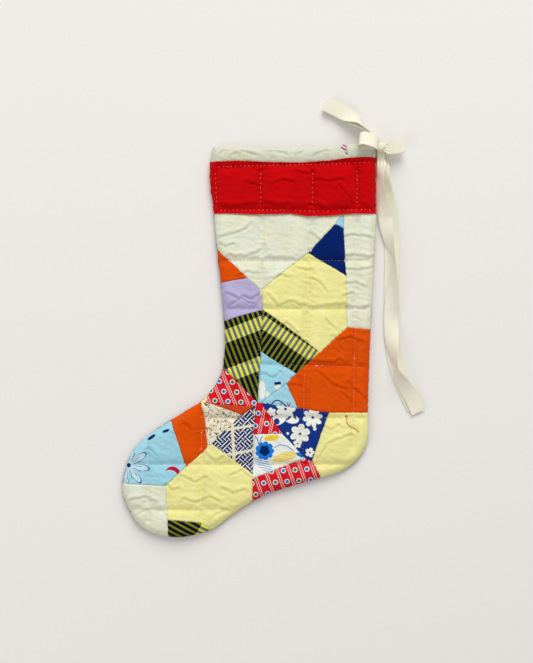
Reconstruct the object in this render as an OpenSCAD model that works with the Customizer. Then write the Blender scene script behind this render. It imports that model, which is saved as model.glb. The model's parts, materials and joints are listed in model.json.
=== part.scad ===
// Patchwork quilted stocking that lies on its back: front panel, back panel, cuff, ribbon loop and bow.
// +Y runs up the leg to the mouth, the toe points to -X, +Z comes out of the front.

/* [Stocking] */
// Height from the lowest point of the toe to the top of the leg
stocking_h = 435; // [390:5:480]
// Width of the seam allowance that joins the two panels
seam_w = 8; // [6:0.5:12]
// Space between the two linings, where gifts go in
pocket_gap = 4.6; // [4.5:0.1:12]

/* [Quilt layers] */
// Thickness of the patch and cover cotton
cover_t = 0.7; // [0.4:0.1:1.2]
// Thickness of the pressed cotton batting in one panel
batting_t = 1.8; // [1:0.1:4]
// Thickness of the lining cotton
lining_t = 0.5; // [0.3:0.1:1]
// How far batting, linings and seam stay inside the outline
edge_inset = 1.5; // [1:0.5:3]

/* [Stitches] */
// Distance from one running stitch to the next
stitch_pitch = 10; // [8:1:16]
// Visible length of one stitch
stitch_l = 2.4; // [1.5:0.1:4]
// Diameter of the sewing thread
thread_d = 0.5; // [0.3:0.1:0.8]

/* [Ribbon] */
// Width of the cotton twill tape
tape_w = 16; // [12:1:18]
// Thickness of one ply of tape
tape_t = 0.8; // [0.5:0.1:1]
// Thickness of the solid that holds one loose tail
tail_t = 1.6; // [1.2:0.1:2]
// Gap inside the hanging loop at its fold
loop_gap = 5; // [4.6:0.1:8]

/* [Hidden] */

// All plan points below are for a stocking of the design height, and scale with stocking_h.
design_h = 435;
k = stocking_h / design_h;
curve_steps = 4;

// Heights of the layers, from the table up
back_batting_z = cover_t;
back_lining_z = back_batting_z + batting_t;
seam_z = back_lining_z + lining_t;
front_lining_z = seam_z + pocket_gap;
front_batting_z = front_lining_z + lining_t;
patch_z = front_batting_z + batting_t;
cuff_z = patch_z + cover_t;
front_z = cuff_z + cover_t; // top of the cuff

// Side of the leg, from the left end of the mouth down round the toe and the heel to its right end
leg_points = [
    [-41, 211], [-44, 178], [-39, 135], [-34, 82], [-28, 21], [-28, -20], [-33, -42], [-51, -67],
    [-86, -89], [-118, -111], [-133, -131], [-140, -160], [-135, -182], [-121, -205], [-98, -216],
    [-72, -218], [-41, -209], [-12, -188], [24, -169], [78, -153], [104, -144], [122, -128],
    [130, -108], [130, -67], [133, 10], [136, 82], [139, 137], [138, 162], [139, 217]
];
// Mouth, from its right end back to its left end
mouth_points = [[139, 217], [110, 214.5], [84, 211], [54, 208.5], [8, 209.5], [-41, 211]];

// Corners where the patches meet
chip_n = [103, 138];
chip_w = [94, 125.5];
chip_e = [102.5, 121];
hex_n = [64.5, 94.5];
hex_ne = [105.5, 68.5];
hex_se = [106.5, 12.5];
hex_s = [77.5, -14.5];
hex_sw = [14.5, 32];
hex_w = [12, 53];
yoke_s = [-3, 66.5];
stripe_s = [12.5, -13.5];
stripe_e = [50.5, -38.5];
ankle_w = [8.5, -70];
ankle_c = [13, -69.5];
ankle_e = [40, -49.5];
low_e = [52, -76];
heel_n = [87, -80.5];
heel_w = [68.5, -134.5];
bell_e = [61, -131];
wedge_n = [6, -73.5];
wedge_e = [35.5, -104.5];
wedge_w = [4, -105];
lattice_s = [3, -149];
lattice_w = [-40.5, -115];
sole_n = [2.5, -154];
brick_s = [-8.5, -83.5];
brick_sw = [-21.5, -78];
brick_w = [-40.5, -71.5];
instep_chip_e = [-47.5, -70.5];
instep_chip_w = [-53, -70.5];
sprig_w = [-49, -89];
sprig_s = [-46, -119];
instep_s = [-70, -140.5];
toe_c = [-92, -161.5];
toe_s = [-90, -199];
toe_se = [-54.5, -202];
band_n = [103, 160];

// Points beyond the outline, on the patch seams carried outward
far_yoke_w = [-60, 160];
far_yoke_sw = [-60, 122.5];
far_side_w = [-61, 56.5];
far_lavender_w = [-60, 9.5];
far_stripe_w = [-60, -1.5];
far_ankle_w = [-62, -40];
far_chip_e = [-46, -58];
far_chip_w = [-56, -62];
far_instep_n = [-96, -61];
far_toe_nw = [-165, -61];
far_toe_w = [-165, -157.5];
far_toe_sw = [-165, -240];
far_toe_s = [-89, -240];
far_sole_s = [-22, -240];
far_sole_w = [-22, -219.5];
far_sole_e = [2, -210];
far_heel_s = [40, -215];
far_heel_w = [90, -174];
far_heel_e = [165, -174];
far_calf_s = [165, -81.5];
far_calf_n = [165, 7.5];
far_band_e = [165, 160];

// Edges of the cuff band, left to right
cuff_top = [
    [-60, 194], [-13, 195.5], [22, 194], [55, 193.5], [86, 195.5], [107, 198.5], [122, 199.5],
    [165, 199.5]
];
cuff_bottom = [
    [-60, 135.5], [-26, 138], [8, 136.5], [45, 137.5], [64, 134.5], [88, 135], [114, 137.5],
    [165, 137.5]
];
hem_chip_points = [[89, 225], [104, 225], [107.3, 201]];

// Running stitches on the cuff: two long rows and the upright rows between them
cuff_rows = [
    [[-36, 189], [107, 193]], [[107, 193], [134, 194]],
    [[-34, 141.5], [40, 141.5]], [[48, 141], [88, 140]], [[96, 141.5], [134, 142]],
    [[-38, 184], [-36, 148]], [[12, 184], [12, 148]], [[69, 184], [69, 148]], [[118, 187], [118, 148]]
];
// Running stitches of the quilting on the patches
quilt_rows = [
    [[14, 128], [12, 40]], [[12, 28], [6, -60]], [[5, -80], [3, -140]],
    [[70, 128], [62, 43]], [[62, 43], [60, -45]], [[60, -45], [58, -146]],
    [[118, 128], [115, -34]], [[115, -34], [113, -120]],
    [[-53, -84], [-53, -196]], [[-112, -116], [-112, -200]],
    [[-32, 86], [130, 86]], [[-24, 33], [129, 33]], [[-22, -27], [126, -31]],
    [[-45, -87], [98, -87]], [[112, -87], [124, -87]],
    [[-130, -138], [116, -138]], [[-126, -188], [-20, -188]]
];

// The bow's knot, beside the top right corner: every ribbon piece swings about it
knot_c = [144.8, 211];
knot_z = 9.6;
knot_r = 5.2;
knot_l = 11;

// Ribbon pieces of two plies, from the knot to the fold. Each row has x, y and z midway between the
// plies, how far the tape stands on edge in degrees, its share of the full width, and the space
// between the middles of the plies.
loop_rows = [
    [141.2, 218, 5.8, 84, 0.62, 2.4], [137, 221.6, 5.9, 84, 0.66, 2.6], [130.5, 227.5, 6.6, 80, 0.72, 2.8],
    [124, 233, 8.2, 60, 0.85, 3.6], [113, 242, 6.8, 22, 1, 5.4], [106, 246.6, 5.2, 4, 1, loop_gap + tape_t],
    [98, 251.4, 4.4, 0, 1, loop_gap + tape_t], [91.5, 254.8, 4.4, 0, 1, loop_gap + tape_t],
    [86, 257.5, 4.4, 0, 1, loop_gap + tape_t]
];
left_rows = [
    [142.5, 213.2, 18.6, 22, 0.6, 1.6], [139, 213.6, 18.9, 22, 0.75, 4], [133, 214.4, 19.4, 22, 0.92, 7.5],
    [126.5, 215.2, 19.7, 22, 1, 8.6], [122.5, 215.8, 19.8, 22, 1, 8.8]
];
right_rows = [
    [151.8, 208.8, 10.5, 0, 0.6, 1.4], [154.5, 209.3, 10.6, 0, 0.75, 3.6], [159, 210.4, 10.8, 0, 0.9, 5.4],
    [164, 211.6, 11, 0, 0.95, 6], [167, 212.3, 11, 0, 0.95, 6]
];

// Stray thread on the heel: its stitched end and its middle line
heel_thread_points = [[107, -87], [106.5, -91.5], [110, -96], [116, -99], [120, -102.5]];
heel_stitch = [106, -85];
heel_thread_d = 0.8;

// Loose tails: x, y, how far the tape stands on edge in degrees, and its share of the full width
front_route = [
    [144.5, 204.5, 0, 0.62], [144.5, 197, 8, 0.65], [144.4, 189, 40, 0.8], [143.4, 181, 76, 1],
    [143.2, 170, 70, 1], [143.6, 162, 62, 1], [145.3, 152, 46, 1], [147.4, 140, 29, 1],
    [149.4, 130, 20, 1], [152.2, 114, 42, 1], [155.8, 98, 65, 1], [158.4, 87, 80, 1],
    [157.8, 70, 61, 1], [157, 54, 41, 1], [156.5, 39, 22, 1], [156, 20, 0, 1], [156.4, -1, 25, 1],
    [158.3, -17, 55, 1], [160.8, -31, 77, 1], [165.3, -43, 45, 1], [170.4, -52, 28, 1],
    [179, -66, 8, 1], [186, -81, 0, 1]
];
back_route = [
    [147.6, 204.5, 0, 0.6], [147.5, 197, 0, 0.7], [147.4, 188, 25, 0.85], [147.6, 178, 38, 1],
    [149, 168, 30, 1], [151, 158, 20, 1], [154.3, 139, 8, 1], [156.5, 120, 0, 1], [157, 100, 0, 1],
    [157, 80, 0, 1], [156.4, 60, 0, 1], [156, 43, 0, 1], [156, 26, 0, 1], [156.2, 8, 0, 1],
    [158, -12, 0, 1], [161.8, -31, 0, 1], [167.2, -46, 0, 1], [174, -62, 0, 1], [181.5, -77, 0, 1]
];
// Heights of the two tails' lower faces above the table
front_rest = 2.3;
back_rest = 0.3;

function lerp(a, b, t) = a + (b - a) * t;

// Point of a curve through p[i] and p[i + 1] that follows their neighbours
function curve_at(p, i, t) =
    let (n = len(p), a = p[max(i - 1, 0)], b = p[i], c = p[min(i + 1, n - 1)], d = p[min(i + 2, n - 1)])
    0.5 * ((2 * b) + (c - a) * t + (2 * a - 5 * b + 4 * c - d) * t * t
        + (3 * b - a - 3 * c + d) * t * t * t);

function curve(p, steps) = [
    for (i = [0:len(p) - 2]) for (s = [0:steps - 1]) curve_at(p, i, s / steps),
    p[len(p) - 1]
];

function unit(v) = v / norm(v);

// Left-hand normal of the edge from a to b
function edge_normal(a, b) = let (d = unit(b - a)) [-d[1], d[0]];

// Closed outline moved inward by d
function inset(p, d) = [
    for (i = [0:len(p) - 1])
        let (
            n = len(p),
            n1 = edge_normal(p[(i + n - 1) % n], p[i]),
            n2 = edge_normal(p[i], p[(i + 1) % n])
        )
        p[i] + (n1 + n2) / (1 + n1 * n2) * d
];

leg_curve = curve(leg_points, curve_steps);
mouth_curve = curve(mouth_points, curve_steps);
outline = [
    for (p = leg_curve) p * k,
    for (i = [1:len(mouth_curve) - 2]) mouth_curve[i] * k
];
inner = inset(outline, edge_inset);
leg_count = len(leg_curve);
pocket_line = inset(outline, edge_inset + seam_w);
pocket_side = [for (i = [1:leg_count - 2]) pocket_line[i]];
mouth_clear = 260 * k;
far_x = 170;
far_y = 260;
ankle_y = -60; // the back's ankle seam
leg_middle_x = 50;
arch_x = 6; // where the seams of the toe and the heel meet under the arch
pocket = concat(
    [[pocket_side[0][0], mouth_clear]], pocket_side, [[pocket_side[leg_count - 3][0], mouth_clear]]
);

module layer(z, t) {
    translate([0, 0, z])
        linear_extrude(t)
            children();
}

// One piece of the patchwork: the outline's share between its seams
module patch(points, z = patch_z, t = cover_t) {
    layer(z, t)
        intersection() {
            polygon(outline);
            polygon(points * k);
        }
}

function reversed(p) = [for (i = [len(p) - 1:-1:0]) p[i]];

// Box of the plan between two corners, at the design height
module plan_box(x0, y0, x1, y1) {
    translate([x0, y0] * k)
        square([x1 - x0, y1 - y0] * k);
}

module cuff_shape() {
    intersection() {
        polygon(outline);
        polygon(concat(cuff_top, reversed(cuff_bottom)) * k);
    }
}

module stitch_row(a, b, z) {
    length = norm(b - a) * k;
    count = max(1, floor(length / stitch_pitch));
    for (i = [0:count - 1]) {
        p = lerp(a, b, (i + 0.5) / count) * k;
        translate([p[0], p[1], z + thread_d / 2])
            rotate([0, 0, atan2(b[1] - a[1], b[0] - a[0])])
                cube([stitch_l, thread_d, thread_d], center = true);
    }
}

// The back is pieced from a leg and a foot, joined across the ankle
module back_leg() {
    color("#7a1420")
        layer(0, cover_t)
            intersection() {
                polygon(outline);
                polygon(concat(cuff_bottom, [[far_x, ankle_y], [-60, ankle_y]]) * k);
            }
}

module back_foot() {
    color("#7a1420")
        layer(0, cover_t)
            intersection() {
                polygon(outline);
                plan_box(-far_x, -far_y, far_x, ankle_y);
            }
}

module back_cuff() {
    color("#be0008") layer(0, cover_t) cuff_shape();
}

module back_hem() {
    color("#e4e6d0")
        layer(0, cover_t)
            intersection() {
                polygon(outline);
                polygon(concat(cuff_top, [[far_x, far_y], [-60, far_y]]) * k);
            }
}

module back_batting() {
    color("#f4f0e4") layer(back_batting_z, batting_t) polygon(inner);
}

module back_lining() {
    color("#e9e3cf") layer(back_lining_z, lining_t) polygon(inner);
}

// The share of the seam allowance between two corners of the plan
module seam(x0, y0, x1, y1) {
    color("#ddd6c0")
        layer(seam_z, pocket_gap)
            difference() {
                intersection() {
                    polygon(inner);
                    plan_box(x0, y0, x1, y1);
                }
                polygon(pocket);
            }
}

module shin_seam() {
    seam(-far_x, ankle_y, leg_middle_x, far_y);
}

module calf_seam() {
    seam(leg_middle_x, ankle_y, far_x, far_y);
}

module toe_seam() {
    seam(-far_x, -far_y, arch_x, ankle_y);
}

module heel_seam() {
    seam(arch_x, -far_y, far_x, ankle_y);
}

module front_lining() {
    color("#e9e3cf") layer(front_lining_z, lining_t) polygon(inner);
}

module front_batting() {
    color("#f4f0e4") layer(front_batting_z, batting_t) polygon(inner);
}

module white_yoke() {
    color("#e4e6d0") patch([far_yoke_sw, yoke_s, hex_w, hex_n, chip_w, chip_n, band_n, far_yoke_w]);
}

module sky_chip() {
    color("#96cede") patch([chip_w, chip_e, chip_n]);
}

module navy_kite() {
    color("#001a60") patch([hex_n, hex_ne, chip_e, chip_w]);
}

module white_side() {
    color("#e4e6d0") patch([chip_n, chip_e, hex_ne, hex_se, far_calf_n, far_band_e, band_n]);
}

module cream_hexagon() {
    color("#ece896") patch([hex_w, hex_sw, hex_s, hex_se, hex_ne, hex_n]);
}

module orange_side() {
    color("#de5600") patch([far_yoke_sw, far_side_w, yoke_s]);
}

module lavender_patch() {
    color("#b0a6d0") patch([far_side_w, far_lavender_w, hex_sw, hex_w, yoke_s]);
}

module stripe_left() {
    color("#3c4818") patch([far_lavender_w, far_stripe_w, ankle_w, stripe_s, hex_sw]);
}

module stripe_right() {
    color("#4c5820") patch([hex_sw, stripe_s, stripe_e, hex_s]);
}

module sky_triangle() {
    color("#96cede") patch([stripe_s, ankle_w, ankle_c, ankle_e, stripe_e]);
}

module sky_lower() {
    color("#a6d2dc") patch([ankle_c, low_e, ankle_e]);
}

module orange_calf() {
    color("#de5600")
        patch([hex_se, hex_s, stripe_e, ankle_e, low_e, heel_n, far_calf_s, far_calf_n]);
}

module ankle_print() {
    color("#d41426")
        patch([far_stripe_w, far_ankle_w, far_chip_e, instep_chip_e, brick_w, wedge_n, ankle_w]);
}

module brick_sliver() {
    color("#c83c14") patch([brick_w, brick_sw, brick_s, wedge_n]);
}

module blossom_print() {
    color("#204a94") patch([ankle_c, wedge_e, bell_e, heel_w, heel_n, low_e]);
}

module wedge_print() {
    color("#d41426") patch([wedge_n, wedge_w, wedge_e, ankle_c, ankle_w]);
}

module bell_print() {
    color("#e8eee4") patch([wedge_w, lattice_s, sole_n, bell_e, wedge_e]);
}

module sole_print() {
    color("#d41426") patch([sole_n, far_sole_e, far_heel_s, far_heel_w, heel_w, bell_e]);
}

module cream_heel() {
    color("#ece896") patch([heel_n, heel_w, far_heel_w, far_heel_e, far_calf_s]);
}

module sprig_print() {
    color("#dcd6c4")
        patch([instep_chip_w, sprig_w, sprig_s, lattice_w, brick_s, brick_sw, brick_w, instep_chip_e]);
}

module lattice_print() {
    color("#101c50") patch([brick_s, lattice_w, lattice_s, wedge_w, wedge_n]);
}

module orange_instep() {
    color("#de5600")
        patch([far_instep_n, instep_s, sprig_s, sprig_w, instep_chip_w, far_chip_w]);
}

module cream_chip() {
    color("#ece896") patch([far_chip_w, instep_chip_w, instep_chip_e, far_chip_e]);
}

module sky_toe() {
    color("#8ec8da") patch([far_instep_n, far_toe_nw, far_toe_w, toe_c, instep_s]);
}

module white_toe() {
    color("#e4e6d0") patch([far_toe_w, far_toe_sw, far_toe_s, toe_s, toe_c]);
}

module cream_sole() {
    color("#ece896")
        patch([
            toe_c, toe_s, toe_se, far_sole_w, far_sole_e, sole_n, lattice_s, lattice_w, sprig_s, instep_s
        ]);
}

module stripe_toe() {
    color("#3c4818") patch([toe_s, far_toe_s, far_sole_s, far_sole_w, toe_se]);
}

module hem_band() {
    color("#e4e6d0")
        layer(patch_z, cover_t)
            difference() {
                intersection() {
                    polygon(outline);
                    plan_box(-far_x, band_n[1], far_x, far_y);
                }
                polygon(hem_chip_points * k);
            }
}

module hem_chip() {
    color("#b04468") patch(hem_chip_points);
}

module cuff_band() {
    color("#be0008") layer(cuff_z, cover_t) cuff_shape();
}

module cuff_stitches() {
    color("#f0e6e0")
        for (row = cuff_rows)
            stitch_row(row[0], row[1], front_z);
}

module quilting_stitches() {
    color("#f2f0e2")
        for (row = quilt_rows)
            stitch_row(row[0], row[1], cuff_z);
}

// Loose thread end beside the stitch that holds it
module heel_thread() {
    c = [for (p = heel_thread_points) [p[0] * k, p[1] * k, cuff_z + heel_thread_d / 2]];
    flat = [for (p = c) 0];
    full = [for (p = c) 1];
    color("#c81e28") {
        flat_tube(c, flat, full, heel_thread_d, heel_thread_d);
        translate([heel_stitch[0] * k, heel_stitch[1] * k, cuff_z])
            cylinder(r = 1.1, h = 1, $fn = 24);
    }
}

// Short bars of thread between the side of the leg and the knot
module ribbon_tacking() {
    leg_side = 139 * k;
    clear = 0.1;
    reach = knot_c[0] * k - knot_r - leg_side - 2 * clear;
    color("#f2f0e2")
        for (z = [-1.5, 0, 1.5])
            translate([leg_side + clear, knot_c[1] * k, knot_z + z])
                rotate([0, 90, 0])
                    cylinder(d = thread_d, h = reach, $fn = 16);
}

// Barrel of wound tape, its axis along the leg
module bow_knot() {
    color("#e8e8d2")
        translate([knot_c[0] * k, knot_c[1] * k, knot_z])
            rotate([90, 0, 0])
                rotate_extrude($fn = 48)
                    intersection() {
                        translate([-knot_r * 2, 0])
                            circle(r = knot_r * 3, $fn = 96);
                        translate([0, -knot_l / 2])
                            square([knot_r, knot_l]);
                    }
}

// Unit tangents of a list of points
function tangents(c) = [
    for (i = [0:len(c) - 1]) unit(c[min(i + 1, len(c) - 1)] - c[max(i - 1, 0)])
];

// Direction across the tape, and out of its face, when it stands on edge by tilt degrees
function level(tan) = unit(cross([0, 0, 1], tan));
function across(tan, tilt) = level(tan) * cos(tilt) + cross(tan, level(tan)) * sin(tilt);
function facing(tan, tilt) = cross(tan, across(tan, tilt));

// Closed skin over rings of equal size, given as one list of points
module skin(points, sides) {
    rings = len(points) / sides;
    walls = [
        for (i = [0:rings - 2]) for (j = [0:sides - 1])
            let (p = sides * i + j, q = sides * i + (j + 1) % sides)
            each [[p, p + sides, q], [q, p + sides, q + sides]]
    ];
    caps = [
        [for (j = [0:sides - 1]) j],
        [for (j = [sides - 1:-1:0]) sides * (rings - 1) + j]
    ];
    polyhedron(points, concat(walls, caps));
}

// Tape folded back on itself: out along one ply, round the fold, and back along the other
module folded_tape(rows) {
    fine = curve([for (r = rows) [r[0] * k, r[1] * k, r[2], r[3], r[4], r[5]]], 2);
    spine = [for (r = fine) [r[0], r[1], r[2]]];
    tan = tangents(spine);
    last = len(fine) - 1;
    out = [
        for (i = [0:last - 1])
            let (r = fine[i], n = facing(tan[i], r[3]), a = across(tan[i], r[3]) * r[4] * tape_w / 2)
            [spine[i] - n * r[5] / 2, a]
    ];
    fold = [
        for (q = [-90:30:90])
            let (r = fine[last], n = facing(tan[last], r[3]))
            [
                spine[last] + (tan[last] * cos(q) + n * sin(q)) * r[5] / 2,
                across(tan[last], r[3]) * r[4] * tape_w / 2
            ]
    ];
    home = [
        for (i = [last - 1:-1:0])
            let (r = fine[i], n = facing(tan[i], r[3]))
            [spine[i] + n * r[5] / 2, out[i][1]]
    ];
    strip = concat(out, fold, home);
    run = tangents([for (s = strip) s[0]]);
    skin([
        for (i = [0:len(strip) - 1])
            let (c = strip[i][0], a = strip[i][1], n = unit(cross(run[i], a)) * tape_t / 2)
            each [c - a - n, c + a - n, c + a + n, c - a + n]
    ], 4);
}

module hanging_loop() {
    color("#e8e8d2") folded_tape(loop_rows);
}

module bow_loop_left() {
    color("#e8e8d2") folded_tape(left_rows);
}

module bow_loop_right() {
    color("#e8e8d2") folded_tape(right_rows);
}

// Tube of flat section along centres c, with each ring's tilt and share of the full width
module flat_tube(c, tilt, share, w, t) {
    sides = 8;
    tan = tangents(c);
    skin([
        for (i = [0:len(c) - 1])
            let (a = across(tan[i], tilt[i]) * share[i] * w / 2, b = facing(tan[i], tilt[i]) * t / 2)
            each [
                for (j = [0:sides - 1])
                    let (q = 360 * (j + 0.5) / sides, s = 1 / cos(180 / sides))
                    c[i] + a * s * cos(q) + b * s * sin(q)
            ]
    ], sides);
}

// Loose tail that lies on its route, its lower edge at the height rest
module tail(route, rest) {
    fine = curve(route, 2);
    c = [
        for (r = fine)
            [r[0] * k, r[1] * k, rest + tail_t / 2 + sin(abs(r[2])) * r[3] * tape_w / 2]
    ];
    flat_tube(c, [for (r = fine) r[2]], [for (r = fine) r[3]], tape_w, tail_t);
}

module tail_front() {
    color("#ececd6") tail(front_route, front_rest);
}

module tail_back() {
    color("#e4e4cc") tail(back_route, back_rest);
}

back_leg();
back_foot();
back_cuff();
back_hem();
back_batting();
back_lining();
shin_seam();
calf_seam();
toe_seam();
heel_seam();
front_lining();
front_batting();
white_yoke();
sky_chip();
navy_kite();
white_side();
cream_hexagon();
orange_side();
lavender_patch();
stripe_left();
stripe_right();
sky_triangle();
sky_lower();
orange_calf();
ankle_print();
brick_sliver();
blossom_print();
wedge_print();
bell_print();
sole_print();
cream_heel();
sprig_print();
lattice_print();
orange_instep();
cream_chip();
sky_toe();
white_toe();
cream_sole();
stripe_toe();
hem_band();
hem_chip();
cuff_band();
cuff_stitches();
quilting_stitches();
heel_thread();
ribbon_tacking();
bow_knot();
hanging_loop();
bow_loop_left();
bow_loop_right();
tail_front();
tail_back();
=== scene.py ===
"""Looks of a patchwork stocking that lies on its back: quilted cloth, thread, and a twill tape bow."""

import json
import math
import random

import bpy
import numpy as np
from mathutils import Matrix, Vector
from mathutils.bvhtree import BVHTree
from mathutils.geometry import delaunay_2d_cdt
from mathutils.kdtree import KDTree


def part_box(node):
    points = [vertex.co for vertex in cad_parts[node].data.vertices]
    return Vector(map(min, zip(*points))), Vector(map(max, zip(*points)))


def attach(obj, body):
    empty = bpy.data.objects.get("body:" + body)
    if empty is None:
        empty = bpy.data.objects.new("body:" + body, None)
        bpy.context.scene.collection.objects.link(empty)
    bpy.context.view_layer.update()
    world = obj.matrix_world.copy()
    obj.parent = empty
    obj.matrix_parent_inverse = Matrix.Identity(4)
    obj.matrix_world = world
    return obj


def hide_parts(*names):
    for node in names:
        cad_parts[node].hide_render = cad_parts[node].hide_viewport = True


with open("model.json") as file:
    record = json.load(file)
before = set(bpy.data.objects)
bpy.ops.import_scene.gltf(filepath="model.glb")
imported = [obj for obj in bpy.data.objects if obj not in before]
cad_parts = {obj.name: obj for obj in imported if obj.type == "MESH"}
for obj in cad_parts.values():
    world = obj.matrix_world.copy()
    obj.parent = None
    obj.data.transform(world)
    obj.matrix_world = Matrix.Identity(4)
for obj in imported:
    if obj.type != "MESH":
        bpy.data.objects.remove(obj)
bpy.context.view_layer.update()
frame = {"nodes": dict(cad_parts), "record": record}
MM = 0.001  # every length below is in millimetres until it goes into a mesh

# The view: straight down on the middle of the picture
VIEW_CENTRE = (18.4, 8.1)
VIEW_HEIGHT = 729.3  # how much of the table the picture's long side shows
CAMERA_ABOVE = 2200
OBJECT_MIDDLE_Z = 8
SENSOR = 36

# Soft light from above the stocking's mouth: place and size in metres, power in watts
SKY_LIGHT = 0.46
SKY_COLOUR = (1.0, 0.985, 0.96, 1)
LIGHTS = [
    ("key", (0.7, 2.85, 2.5), 2.4, 98, (1.0, 0.99, 0.97)),
    ("fill", (-1.5, -0.8, 1.6), 1.6, 9, (0.97, 0.98, 1.0)),
]
TABLE_HALF = 4.0  # metres
TABLE_COLOUR = (0.87, 0.855, 0.835, 1)

# Twill tape
TAPE_W = 16
TAPE_T = 0.6
CORD_STEPS = 6
KNOT = (144.8, 211, 9.6)  # its middle
KNOT_R = 5.2  # half its height
KNOT_L = 11  # its size along y, and along x
KNOT_WIDE = 8.2
KNOT_TURNS = 1.35  # how many times the tape is wound round the plies
KNOT_STARTS = 3.6  # the angle at which the winding starts, in radians
TAIL_PLEATS = 1.3  # how deep the tape is gathered where it goes into the knot
LOOP_PLEATS = 0.5
TAIL_CUP = 0.55  # how much a tail bends across its width, and how fast that changes along it
TAIL_CUP_PACE = 0.23

# Ribbon rows from the knot to the fold: x, y, z, tilt in degrees, share of the width, ply spacing
LOOP_ROWS = [
    (143.6, 214.4, 8.4, 84, 0.5, 1.3), (141.2, 218, 6.3, 84, 0.6, 2.2), (137, 221.6, 5.9, 84, 0.66, 2.6),
    (130.5, 227.5, 6.8, 83, 0.72, 2.6), (124.5, 233, 8, 80, 0.82, 3), (119, 237.6, 8.4, 66, 0.94, 4),
    (113, 242, 7, 34, 1, 5.2), (106, 246.6, 5.2, 8, 1, 5.8), (98, 251.4, 4.4, 0, 1, 5.8),
    (91.5, 254.8, 4.4, 0, 1, 5.8), (86, 257.5, 4.4, 0, 1, 5.8),
]
LEFT_ROWS = [
    (144.4, 211.6, 10.2, 8, 0.42, 0.9), (141.4, 212.3, 11.4, 14, 0.5, 1.4),
    (138.8, 213.6, 15, 20, 0.8, 4.2),
    (135, 215, 18.2, 25, 1, 8), (130, 216.2, 19.4, 27, 1.04, 10), (125, 217, 19.6, 29, 1.04, 10.4),
]
RIGHT_ROWS = [
    (145.6, 210.6, 9.8, 0, 0.42, 0.9), (149, 209.6, 10.1, 0, 0.48, 1.2), (152.4, 208.9, 10.5, 0, 0.68, 2.6),
    (156, 209.5, 10.7, 0, 0.84, 4.4), (160, 210.6, 10.9, 0, 0.93, 5.6), (164, 211.6, 11, 0, 0.95, 6),
    (167, 212.3, 11, 0, 0.95, 6),
]
# Loose tails: x, y, tilt in degrees, share of the full width
FRONT_ROUTE = [
    (144.3, 209.5, 0, 0.46), (144.5, 204.5, 0, 0.58), (144.5, 197, 8, 0.65), (144.4, 189, 40, 0.8),
    (143.4, 181, 62, 1), (143.2, 170, 58, 1), (143.6, 162, 54, 1), (145.3, 152, 44, 1),
    (147.4, 140, 29, 1), (149.4, 130, 20, 1),
    (152.2, 114, 42, 1), (155.8, 98, 65, 1), (158.4, 87, 80, 1), (157.8, 70, 61, 1), (157, 54, 41, 1),
    (156.5, 39, 22, 1), (156, 20, 0, 1), (156.4, -1, 25, 1), (158.3, -17, 55, 1), (160.8, -31, 77, 1),
    (165.3, -43, 45, 1), (170.4, -52, 28, 1), (179, -66, 8, 1), (186, -81, 0, 1),
]
BACK_ROUTE = [
    (146.6, 209, 0, 0.42), (147.6, 204.5, 0, 0.56), (147.5, 197, 0, 0.7), (147.4, 188, 25, 0.85),
    (147.6, 178, 38, 1),
    (149, 168, 30, 1), (151, 158, 20, 1), (154.3, 139, 8, 1), (156.5, 120, 0, 1), (157, 100, 0, 1),
    (157, 80, 0, 1), (156.4, 60, 0, 1), (156, 43, 0, 1), (156, 26, 0, 1), (156.2, 8, 0, 1),
    (158, -12, 0, 1), (161.8, -31, 0, 1), (167.2, -46, 0, 1), (174, -62, 0, 1), (181.5, -77, 0, 1),
]
FRONT_REST = 2.3  # the height that each tail's lower edge lies at
BACK_REST = 0.3
TAIL_T = 1.6  # thickness of the solid that holds a tail
TAIL_DROP_Y = 196  # from here up, a tail rises from the table into the knot

# Quilting rows, through all the layers of a panel
QUILT_ROWS = [
    ((14, 128), (12, 40)), ((12, 28), (6, -60)), ((5, -80), (3, -140)),
    ((70, 128), (62, 43)), ((62, 43), (60, -45)), ((60, -45), (58, -146)),
    ((118, 128), (115, -34)), ((115, -34), (113, -120)),
    ((-53, -84), (-53, -196)), ((-112, -116), (-112, -200)),
    ((-32, 86), (130, 86)), ((-24, 33), (129, 33)), ((-22, -27), (126, -31)),
    ((-45, -87), (98, -87)), ((112, -87), (124, -87)),
    ((-130, -138), (116, -138)), ((-126, -188), (-20, -188)),
]
CUFF_ROWS = [
    ((-36, 189), (107, 193)), ((107, 193), (134, 194)),
    ((-34, 141.5), (40, 141.5)), ((48, 141), (88, 140)), ((96, 141.5), (134, 142)),
    ((-38, 184), (-36, 148)), ((12, 184), (12, 148)), ((69, 184), (69, 148)), ((118, 187), (118, 148)),
]

BACK_QUILT_ROWS = [
    ((12, 190), (8, 40)), ((8, 40), (0, -150)), ((66, 190), (60, 40)), ((60, 40), (58, -146)),
    ((-50, -90), (-50, -190)), ((-30, 130), (130, 130)), ((-28, 60), (129, 60)),
    ((-24, -10), (127, -10)), ((-60, -92), (124, -92)), ((-130, -150), (112, -150)),
]

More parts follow.
